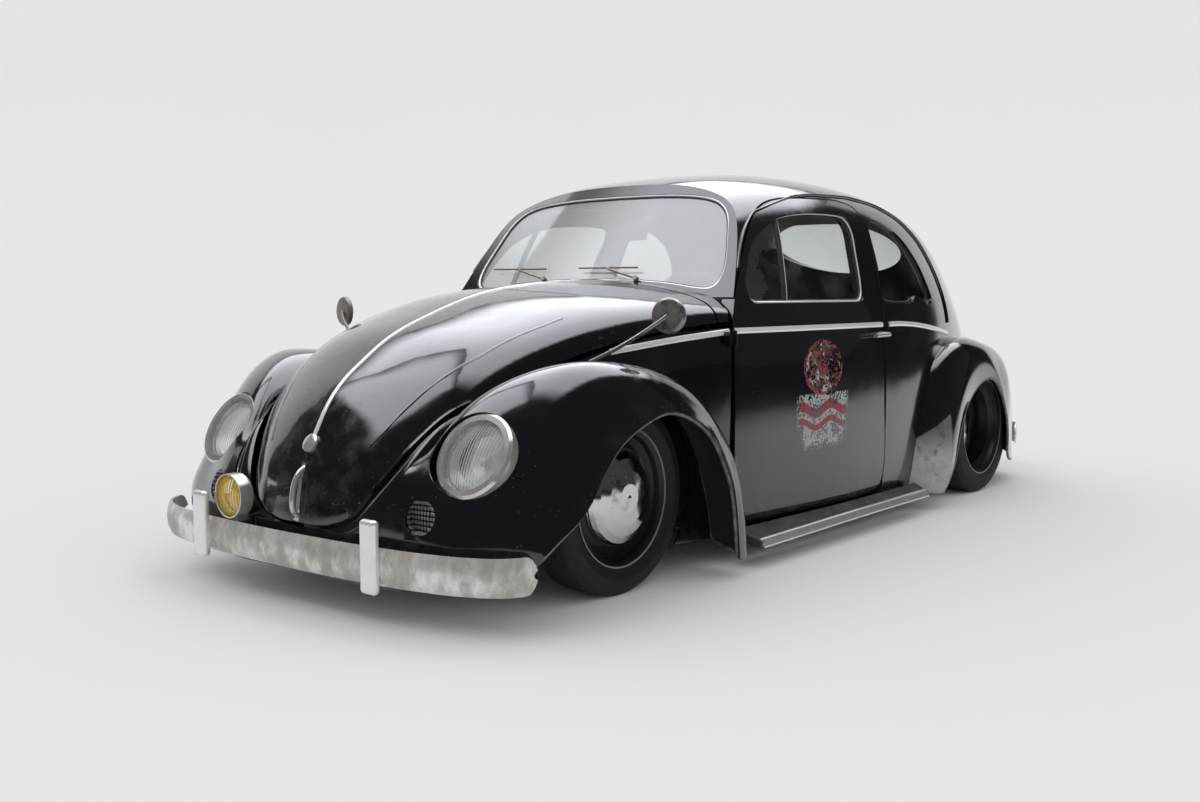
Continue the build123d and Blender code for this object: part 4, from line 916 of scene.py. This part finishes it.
class CAR_OT_mouldings(bpy.types.Operator):
    """Lay the waist mouldings, the hood strip, its crest and the rain gutters"""

    bl_idname = "car.mouldings"
    bl_label = "Mouldings"

    def execute(self, context):
        sizes = context.scene.car_trim
        runs = (
            ("flank", ("front_body", "cowl"), 1.24, 0.785, "car_body"),
            ("door", ("door_{side}",), 0.763, -0.214, "door_{side}"),
            ("quarter", ("quarter_panel_{side}",), -0.226, -0.86, "car_body"),
        )
        for side, sign in (("left", 1), ("right", -1)):
            for run, nodes, start, end, body in runs:
                names = [node.format(side=side) for node in nodes]
                tree = ray_tree(*names)
                count = 24
                spots = []
                for index in range(count + 1):
                    x = start + (end - start) * index / count
                    rise = (0.744 - 0.052 * max(0.0, (x - 0.75) / 0.5) ** 1.3
                            - 0.055 * max(0.0, (-0.30 - x) / 0.56) ** 1.6)
                    spots.append((x, 0.0, rise))
                points, normals = on_surface(tree, spots, (0, 1.2 * sign, 0), (0, -sign, 0))
                name = f"belt_{run}_{side}"
                strip(name, points, normals, sizes.belt, 0.009, body.format(side=side),
                      LOOKS["bright"])
        tree = ray_tree("hood")
        spots = [(0.812 + (1.900 - 0.812) * index / 60, 0.0, 0.0) for index in range(61)]
        points, normals = on_surface(tree, spots, (0, 0, 2.0), (0, 0, -1))
        strip("hood_moulding", points, normals, sizes.hood, 0.008, "hood", LOOKS["bright"])
        self.gutters()
        self.creases(tree)
        self.crest(tree)
        self.beads()
        return {"FINISHED"}

    def gutters(self):
        """The rain gutters from the foot of the windscreen over the doors to the back."""
        line = ((0.690, 0.915), (0.655, 0.975), (0.590, 1.060), (0.480, 1.140), (0.320, 1.186),
                (0.100, 1.210), (-0.200, 1.218), (-0.420, 1.200), (-0.600, 1.150), (-0.740, 1.065),
                (-0.820, 0.960), (-0.850, 0.860), (-0.858, 0.790), (-0.862, 0.735))
        path = resampled([Vector((x, 0.0, z)) for x, z in line], 0.03)
        path = softened(path, 3, False)
        for side, sign in (("left", 1), ("right", -1)):
            tree = ray_tree("roof_shell", "quarter_panel_" + side)
            points, normals = on_surface(tree, path, (0, 1.2 * sign, 0), (0, -sign, 0))
            strip("gutter_" + side, points, normals, 0.010, 0.016, "car_body", LOOKS["body"])

    def creases(self, tree):
        """The fine raised lines that bound the hood's middle and meet its tip."""
        line = ((1.890, 0.205), (1.850, 0.236), (1.800, 0.262), (1.750, 0.286), (1.700, 0.311), (1.650, 0.331),
                (1.600, 0.352), (1.550, 0.363), (1.500, 0.372), (1.450, 0.382), (1.400, 0.394), (1.320, 0.408))
        for side, sign in (("left", 1), ("right", -1)):
            spots = [(x, y * sign, 0.0) for x, y in line]
            points, normals = on_surface(tree, spots, (0, 0, 2.0), (0, 0, -1))
            points = resampled(points, 0.02)
            normals = [normals[min(len(normals) - 1, round(i * (len(normals) - 1) / len(points)))]
                       for i in range(len(points))]
            strip("hood_crease_" + side, points, normals, 0.011, 0.0035, "hood", LOOKS["hood"])

    def arch(self, edges):
        """The outermost of a fender's sharp edges, as one open line."""
        rim = {}
        for edge in edges:
            first, second = (corner.co.y for corner in edge.verts)
            if min(first, second) > 0.615 and abs(first - second) < 0.05:
                rim[edge] = True
        best = []
        while rim:
            edge = next(iter(rim))
            del rim[edge]
            chain = [edge.verts[0], edge.verts[1]]
            for _ in range(2):
                while True:
                    step = next((e for e in chain[-1].link_edges if e in rim), None)
                    if step is None:
                        break
                    del rim[step]
                    chain.append(step.other_vert(chain[-1]))
                chain.reverse()
            if sum(v.co.y for v in chain) > sum(v.y for v in best):
                best = [v.co.copy() for v in chain]
        return best

    def beads(self):
        """The worn rolled lip round each wheel arch."""
        for place in ("front", "rear"):
            shape = merged(f"fender_{place}_left")
            edges = [e for e in shape.edges if len(e.link_faces) == 2 and e.calc_face_angle(0) > radians(50)]
            line = self.arch(edges)
            shape.free()
            gaps = [(line[i] - line[i - 1]).length for i in range(len(line))]
            start = gaps.index(max(gaps))
            line = line[start:] + line[:start]
            line = softened(resampled(line, 0.018), 3, False)
            for side, sign in (("left", 1), ("right", -1)):
                path = [Vector((p.x, (p.y - 0.0048) * sign, p.z)) for p in line]
                out = Vector((0, sign, 0.15)).normalized()
                strip(f"fender_bead_{place}_{side}", path, [out] * len(path), 0.015, 0.011, "car_body",
                      LOOKS["bead"])

    def crest(self, tree):
        """A small bare shield where the strip ends."""
        hit, normal, _, _ = tree.ray_cast(Vector((2.4, 0.0, 0.452)), Vector((-1, 0, 0)), 3.0)
        shape = bmesh.new()
        turn = normal.to_track_quat("Z", "Y").to_matrix().to_4x4()
        place = Matrix.Translation(hit) @ turn
        bmesh.ops.create_circle(shape, cap_ends=True, segments=24, radius=0.027, matrix=place)
        lift = bmesh.ops.extrude_face_region(shape, geom=list(shape.faces))
        raised = [v for v in lift["geom"] if isinstance(v, bmesh.types.BMVert)]
        bmesh.ops.translate(shape, vec=normal * 0.007, verts=raised)
        top = [f for f in shape.faces if f.normal.dot(normal) > 0.9 and all(v in raised for v in f.verts)]
        bmesh.ops.inset_region(shape, faces=top, thickness=0.007, depth=0.003)
        bmesh.ops.recalc_face_normals(shape, faces=shape.faces)
        emit(shape, "hood_crest", "hood", LOOKS["ring"])


class CAR_OT_lamps(bpy.types.Operator):
    """Fill the headlamps and the fog lamp"""

    bl_idname = "car.lamps"
    bl_label = "Lamps"

    def execute(self, context):
        for side, sign in (("left", 1), ("right", -1)):
            centre = Vector((1.801, 0.530 * sign, 0.447))
            facing = Vector((0.87, 0.06 * sign, 0.49)).normalized()
            self.bowl("headlamp_reflector_" + side, centre - facing * 0.014, facing, 0.093, 0.040)
        self.bowl("fog_reflector", Vector((1.984, -0.262, 0.290)), Vector((1, 0, 0)), 0.054, 0.022)
        return {"FINISHED"}

    def bowl(self, name, centre, facing, radius, depth):
        """A dished reflector with a bulb in its middle."""
        shape = bmesh.new()
        steps = 10
        corners = []
        for index in range(steps + 1):
            out = radius * index / steps
            corners.append(shape.verts.new((out, 0.0, -depth * (1 - (index / steps) ** 2))))
        edges = [shape.edges.new(pair) for pair in zip(corners, corners[1:])]
        bmesh.ops.spin(shape, geom=corners + edges, axis=(0, 0, 1), cent=(0, 0, 0), angle=2 * pi, steps=40,
                       use_merge=True)
        bmesh.ops.remove_doubles(shape, verts=shape.verts, dist=1e-5)
        bmesh.ops.recalc_face_normals(shape, faces=shape.faces)
        bmesh.ops.solidify(shape, geom=list(shape.faces), thickness=0.0015)
        bulb = Matrix.Translation((0, 0, -depth * 0.55))
        bmesh.ops.create_uvsphere(shape, u_segments=16, v_segments=10, radius=radius * 0.13, matrix=bulb)
        turn = facing.to_track_quat("Z", "Y").to_matrix().to_4x4()
        bmesh.ops.transform(shape, matrix=Matrix.Translation(centre) @ turn, verts=shape.verts)
        emit(shape, name, "car_body", LOOKS["reflector"])


class CAR_OT_boards(bpy.types.Operator):
    """Edge the running boards with a bright strip"""

    bl_idname = "car.boards"
    bl_label = "Running Boards"

    def execute(self, context):
        low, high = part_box("running_boards")
        for side, sign in (("left", 1), ("right", -1)):
            spots = [(low[0] + 0.008 + (high[0] - low[0] - 0.016) * index / 20, 0.0, 0.0)
                     for index in range(21)]
            points = [Vector((x, sign * (high[1] - 0.004), self.top(x, sign) - 0.010)) for x, _, _ in spots]
            out = Vector((0, sign * 0.80, 0.60)).normalized()
            strip("board_edge_" + side, points, [out] * len(points), 0.036, 0.010, "car_body",
                  LOOKS["edge"])
        return {"FINISHED"}

    def top(self, x, sign):
        tree = ray_tree("running_boards")
        hit, _, _, _ = tree.ray_cast(Vector((x, sign * 0.740, 0.6)), Vector((0, 0, -1)), 1.0)
        return hit.z if hit else 0.112


class CAR_OT_seats(bpy.types.Operator):
    """Make the padded seats"""

    bl_idname = "car.seats"
    bl_label = "Seats"

    def execute(self, context):
        for side, sign in (("left", 1), ("right", -1)):
            cushion = self.block("front_cushion_" + side, (0.165, 0.3175 * sign, 0.330),
                                 (0.455, 0.440, 0.130), 0)
            back = self.block("front_back_" + side, (-0.120, 0.3175 * sign, 0.610), (0.105, 0.435, 0.505), -14)
            self.base("front_base_" + side, 0.3175 * sign)
            for piece in (cushion, back):
                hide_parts("front_seats")
        bench = self.block("rear_cushion", (-0.690, 0.0, 0.385), (0.525, 0.895, 0.100), 0)
        back = self.block("rear_back", (-0.900, 0.0, 0.600), (0.100, 0.885, 0.365), -14)
        for piece in (bench, back):
            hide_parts("rear_seat")
        return {"FINISHED"}

    def block(self, name, centre, size, lean):
        """A crowned cushion, filled by a short cloth run."""
        sizes = bpy.context.scene.car_seats
        shape = bmesh.new()
        bmesh.ops.create_cube(shape, size=1.0)
        slack = 0.010
        bmesh.ops.scale(shape, vec=[side - 2 * slack for side in size], verts=shape.verts)
        bmesh.ops.bevel(shape, geom=list(shape.edges), offset=min(size) * 0.34, segments=4, profile=0.5,
                        affect="EDGES", material=-1)
        turn = Matrix.Rotation(radians(lean), 4, "Y")
        bmesh.ops.transform(shape, matrix=Matrix.Translation(centre) @ turn, verts=shape.verts)
        bmesh.ops.recalc_face_normals(shape, faces=shape.faces)
        piece = emit(shape, name, "car_body", LOOKS["seat"])
        remesh = piece.modifiers.new("Even faces", "REMESH")
        remesh.mode = "VOXEL"
        remesh.voxel_size = sizes.voxel
        self.settle(piece)
        self.fill(piece, sizes.swell)
        self.channels(piece, centre, size, lean)
        piece.data.shade_smooth()
        return piece

    def settle(self, piece):
        """Keeps what the modifiers make as the piece's own mesh."""
        graph = bpy.context.evaluated_depsgraph_get()
        fresh = bpy.data.meshes.new_from_object(piece.evaluated_get(graph))
        piece.modifiers.clear()
        piece.data = fresh

    def fill(self, piece, cap):
        """Blows the cushion up with the cloth solver and limits the swelling."""
        before = [v.co.copy() for v in piece.data.vertices]
        cloth = piece.modifiers.new("Filling", "CLOTH")
        cloth.settings.use_pressure = True
        cloth.settings.uniform_pressure_force = 4.0
        cloth.settings.effector_weights.gravity = 0.0
        scene = bpy.context.scene
        for step in range(1, 15):
            scene.frame_set(step)
        self.settle(piece)
        scene.frame_set(1)
        for vertex, start in zip(piece.data.vertices, before):
            moved = vertex.co - start
            if moved.length > cap:
                vertex.co = start + moved.normalized() * cap

    def channels(self, piece, centre, size, lean):
        """Sewn channels from front to back, or up the backrest."""
        turn = Matrix.Rotation(radians(-lean), 3, "Y")
        pitch = 0.110
        for vertex in piece.data.vertices:
            place = turn @ (vertex.co - Vector(centre))
            face = place.z / (size[2] / 2) if lean == 0 else place.x / (size[0] / 2)
            if face < 0.4:
                continue
            across = (place.y / pitch) % 1.0
            groove = max(0.0, 1.0 - abs(across - 0.5) / 0.10)
            inset = turn.transposed() @ (Vector((0, 0, 1)) if lean == 0 else Vector((1, 0, 0)))
            vertex.co = vertex.co - inset * 0.006 * groove * min(1.0, (face - 0.4) * 3)

    def base(self, name, middle):
        """The two steel runners under a seat."""
        shape = bmesh.new()
        for y in (middle - 0.16, middle + 0.16):
            place = Matrix.Translation((0.165, y, 0.183)) @ Matrix.Diagonal((0.33, 0.02, 0.156, 1.0))
            bmesh.ops.create_cube(shape, size=1.0, matrix=place)
        bmesh.ops.bevel(shape, geom=list(shape.edges), offset=0.004, segments=2, profile=0.5, affect="EDGES",
                        material=-1)
        piece = emit(shape, name, "car_body", LOOKS["under"])
        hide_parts("front_seats")


class CAR_OT_cabin(bpy.types.Operator):
    """Hang the interior mirror"""

    bl_idname = "car.cabin"
    bl_label = "Cabin"

    def execute(self, context):
        shape = bmesh.new()
        place = Matrix.Translation((0.452, -0.02, 1.070)) @ Matrix.Rotation(radians(-12), 4, "Y")
        place = place @ Matrix.Diagonal((0.016, 0.160, 0.038, 1.0))
        bmesh.ops.create_cube(shape, size=1.0, matrix=place)
        bmesh.ops.bevel(shape, geom=list(shape.edges), offset=0.007, segments=3, profile=0.5, affect="EDGES",
                        material=-1)
        stem = [Vector((0.456, -0.02, 1.085)), Vector((0.470, -0.01, 1.150)), Vector((0.482, 0.0, 1.200))]
        sweep(shape, stem, [Vector((1, 0, 0))] * 3, 0.012, 0.012)
        emit(shape, "interior_mirror", "car_body", LOOKS["rubber"])
        return {"FINISHED"}


class CAR_OT_vents(bpy.types.Operator):
    """Stand the rubber bar, edged with a thin bright strip, that divides each door window from its vent wing"""

    bl_idname = "car.vents"
    bl_label = "Vent Windows"

    def execute(self, context):
        for side, sign in (("left", 1), ("right", -1)):
            tree = ray_tree("door_glass_" + side)
            top, bottom = Vector((0.372, 0, 1.112)), Vector((0.452, 0, 0.835))
            spots = [top.lerp(bottom, index / 12) for index in range(13)]
            points, normals = on_surface(tree, spots, (0, 1.2 * sign, 0), (0, -sign, 0))
            strip("vent_bar_" + side, points, normals, 0.024, 0.012, "door_" + side,
                  LOOKS["rubber"])
            inner = [point + Vector((-0.013, 0, 0)) for point in points]
            strip("vent_edge_" + side, inner, normals, 0.005, 0.010, "door_" + side,
                  LOOKS["bright"])
        return {"FINISHED"}


class CAR_OT_stage(bpy.types.Operator):
    """Build the pale seamless room, its lights and the camera"""

    bl_idname = "car.stage"
    bl_label = "Stage"

    def execute(self, context):
        settings = context.scene.car_stage
        self.backdrop(settings)
        self.world()
        self.panel("front_panel", (2.9, -1.5, 4.0), (1.4, 0.0, 0.6), (3.6, 3.0), 3.6)
        self.panel("overhead_panel", (-1.6, -1.0, 4.9), (-1.6, -0.9, 0.0), (10.0, 8.4), 3.6)
        self.camera(settings)
        return {"FINISHED"}

    def backdrop(self, settings):
        """Floor and wall in one curved sheet, facing the camera; in reflections only, its far floor ahead and
        its sides are painted near black as a painted dark reflection.
        """
        finish = Finish("backdrop")
        cloud = finish.noise(0.4, 2.0)
        colour = finish.mix(cloud, (0.885, 0.885, 0.890), (0.90, 0.90, 0.905))
        away = finish.node("ShaderNodeVectorMath", {"operation": "DISTANCE"},
                           {0: finish.place, 1: (0.0, 0.5, 0.0)}, "Value")
        glossy = finish.node("ShaderNodeLightPath", {}, {}, "Is Glossy Ray")
        ahead = finish.axis(finish.place, "X") * 0.775 + finish.axis(finish.place, "Y") * 0.632
        beside = finish.span(finish.axis(finish.place, "Y"), 2.9, 4.3)
        far_ahead = finish.span(away, 3.6, 5.2) * finish.span(ahead, 0.2, 1.4)
        # Painted reflection: glossy rays see the floor far ahead and the sheet off to the side as near black,
        # shaping the dark in the car's paint.
        dark = glossy * finish.maths("MAXIMUM", far_ahead, beside)
        colour = finish.mix(dark, colour, (0.02, 0.02, 0.022))
        material = finish.surface(Base_Color=colour, Roughness=0.9, Specular_IOR_Level=0.0)
        shape = bmesh.new()
        curve = 4.0
        left = shape.verts.new((settings.wall - curve, -30.0, 0.0))
        right = shape.verts.new((settings.wall - curve, 30.0, 0.0))
        edge = shape.edges.new((left, right))
        floor = bmesh.ops.extrude_edge_only(shape, edges=[edge])
        moved = [v for v in floor["geom"] if isinstance(v, bmesh.types.BMVert)]
        bmesh.ops.translate(shape, vec=(-30.0, 0, 0), verts=moved)
        turned = bmesh.ops.spin(shape, geom=[left, right, edge], axis=(0, -1, 0),
                                cent=(settings.wall - curve, 0, curve), angle=pi / 2, steps=24)
        last = [v for v in turned["geom_last"] if isinstance(v, bmesh.types.BMEdge)]
        wall = bmesh.ops.extrude_edge_only(shape, edges=last)
        moved = [v for v in wall["geom"] if isinstance(v, bmesh.types.BMVert)]
        bmesh.ops.translate(shape, vec=(0, 0, 14.0), verts=moved)
        bmesh.ops.remove_doubles(shape, verts=shape.verts, dist=1e-5)
        bmesh.ops.transform(shape, matrix=Matrix.Rotation(radians(-141.07), 4, "Z"), verts=shape.verts)
        bmesh.ops.recalc_face_normals(shape, faces=shape.faces)
        mesh = bpy.data.meshes.new("backdrop")
        shape.to_mesh(mesh)
        shape.free()
        mesh.materials.append(material)
        mesh.shade_smooth()
        sheet = bpy.data.objects.new("backdrop", mesh)
        bpy.context.scene.collection.objects.link(sheet)

    def world(self):
        """Even pale light, darker where the paint mirrors it."""
        world = bpy.data.worlds.new("room")
        bpy.context.scene.world = world
        world.use_nodes = True
        tree = world.node_tree
        tree.nodes.clear()
        start = Wire(tree)
        glossy = start.node("ShaderNodeLightPath", {}, {}, "Is Glossy Ray")
        strength = 0.95 - glossy * 0.89
        shade = start.node("ShaderNodeBackground", {},
                           {"Color": (0.97, 0.985, 1.0, 1.0), "Strength": strength})
        end = tree.nodes.new("ShaderNodeOutputWorld")
        tree.links.new(shade.socket, end.inputs["Surface"])

    def panel(self, name, place, target, size, glow):
        """A soft panel with faded edges that lights nothing and is only mirrored."""
        finish = Finish(name)
        look = Vector(place) - Vector(target)
        turn = look.to_track_quat("Z", "Y").to_matrix()
        here = finish.mapped(place)
        fade = 1.0
        for column, length in zip(turn.transposed()[:2], size):
            along = finish.node("ShaderNodeVectorMath", {"operation": "DOT_PRODUCT"}, {0: here, 1: column},
                                "Value")
            fade = finish.span(finish.maths("ABSOLUTE", along), length * 0.50, length * 0.36) * fade
        shine = finish.node("ShaderNodeEmission", {},
                            {"Color": (0.915, 0.935, 1.0, 1.0), "Strength": fade * glow})
        material = finish.output(shine)
        shape = bmesh.new()
        scale = Matrix.Diagonal((size[0] / 2, size[1] / 2, 1.0, 1.0))
        bmesh.ops.create_grid(shape, x_segments=2, y_segments=2, size=1.0,
                              matrix=Matrix.Translation(place) @ turn.to_4x4() @ scale)
        mesh = bpy.data.meshes.new(name)
        shape.to_mesh(mesh)
        shape.free()
        mesh.materials.append(material)
        sheet = bpy.data.objects.new(name, mesh)
        sheet.visible_camera = False
        sheet.visible_diffuse = False
        sheet.visible_transmission = False
        sheet.visible_shadow = False
        bpy.context.scene.collection.objects.link(sheet)

    def camera(self, settings):
        """A low view from the front left."""
        lens = bpy.data.cameras.new("camera")
        lens.sensor_width = 36.0
        lens.lens = settings.lens
        lens.shift_x = -0.0052
        lens.shift_y = -0.0016
        lens.dof.use_dof = False
        holder = bpy.data.objects.new("camera", lens)
        holder.location = (4.0326, 2.7644, 0.8720)
        heading, pitch = radians(-141.07), radians(-5.04)
        look = Vector((cos(heading) * cos(pitch), sin(heading) * cos(pitch), sin(pitch)))
        turn = look.to_track_quat("-Z", "Y").to_matrix() @ Matrix.Rotation(radians(-0.129), 3, "Z")
        holder.rotation_euler = turn.to_euler()
        bpy.context.scene.collection.objects.link(holder)
        scene = bpy.context.scene
        scene.camera = holder
        scene.view_settings.view_transform = "Standard"


class CAR_PT_panel(bpy.types.Panel):
    """Sizes and steps of the car's looks"""

    bl_idname = "CAR_PT_panel"
    bl_label = "Compact Car"
    bl_space_type = "VIEW_3D"
    bl_region_type = "UI"
    bl_category = "Car"

    def draw(self, context):
        for group in (context.scene.car_trim, context.scene.car_wear, context.scene.car_seats,
                      context.scene.car_stage):
            for name in group.__annotations__:
                self.layout.prop(group, name)
        for step in STEPS:
            self.layout.operator(step.bl_idname)


STEPS = (CAR_OT_panels, CAR_OT_windows, CAR_OT_mouldings, CAR_OT_vents, CAR_OT_lamps, CAR_OT_boards,
         CAR_OT_seats, CAR_OT_cabin, CAR_OT_stage)
GROUPS = {"car_trim": CarTrim, "car_wear": CarWear, "car_seats": CarSeats, "car_stage": CarStage}


def register():
    for group in GROUPS.values():
        bpy.utils.register_class(group)
    for name, group in GROUPS.items():
        setattr(bpy.types.Scene, name, bpy.props.PointerProperty(type=group))
    for step in STEPS:
        bpy.utils.register_class(step)
    bpy.utils.register_class(CAR_PT_panel)


def unregister():
    bpy.utils.unregister_class(CAR_PT_panel)
    for step in reversed(STEPS):
        bpy.utils.unregister_class(step)
    for name, group in GROUPS.items():
        delattr(bpy.types.Scene, name)
        bpy.utils.unregister_class(group)


def main():
    register()
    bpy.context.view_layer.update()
    bpy.ops.car.panels()
    bpy.ops.car.windows()
    bpy.ops.car.mouldings()
    bpy.ops.car.vents()
    bpy.ops.car.lamps()
    bpy.ops.car.boards()
    bpy.ops.car.seats()
    bpy.ops.car.cabin()
    bpy.ops.car.stage()


if __name__ == "__main__":
    main()
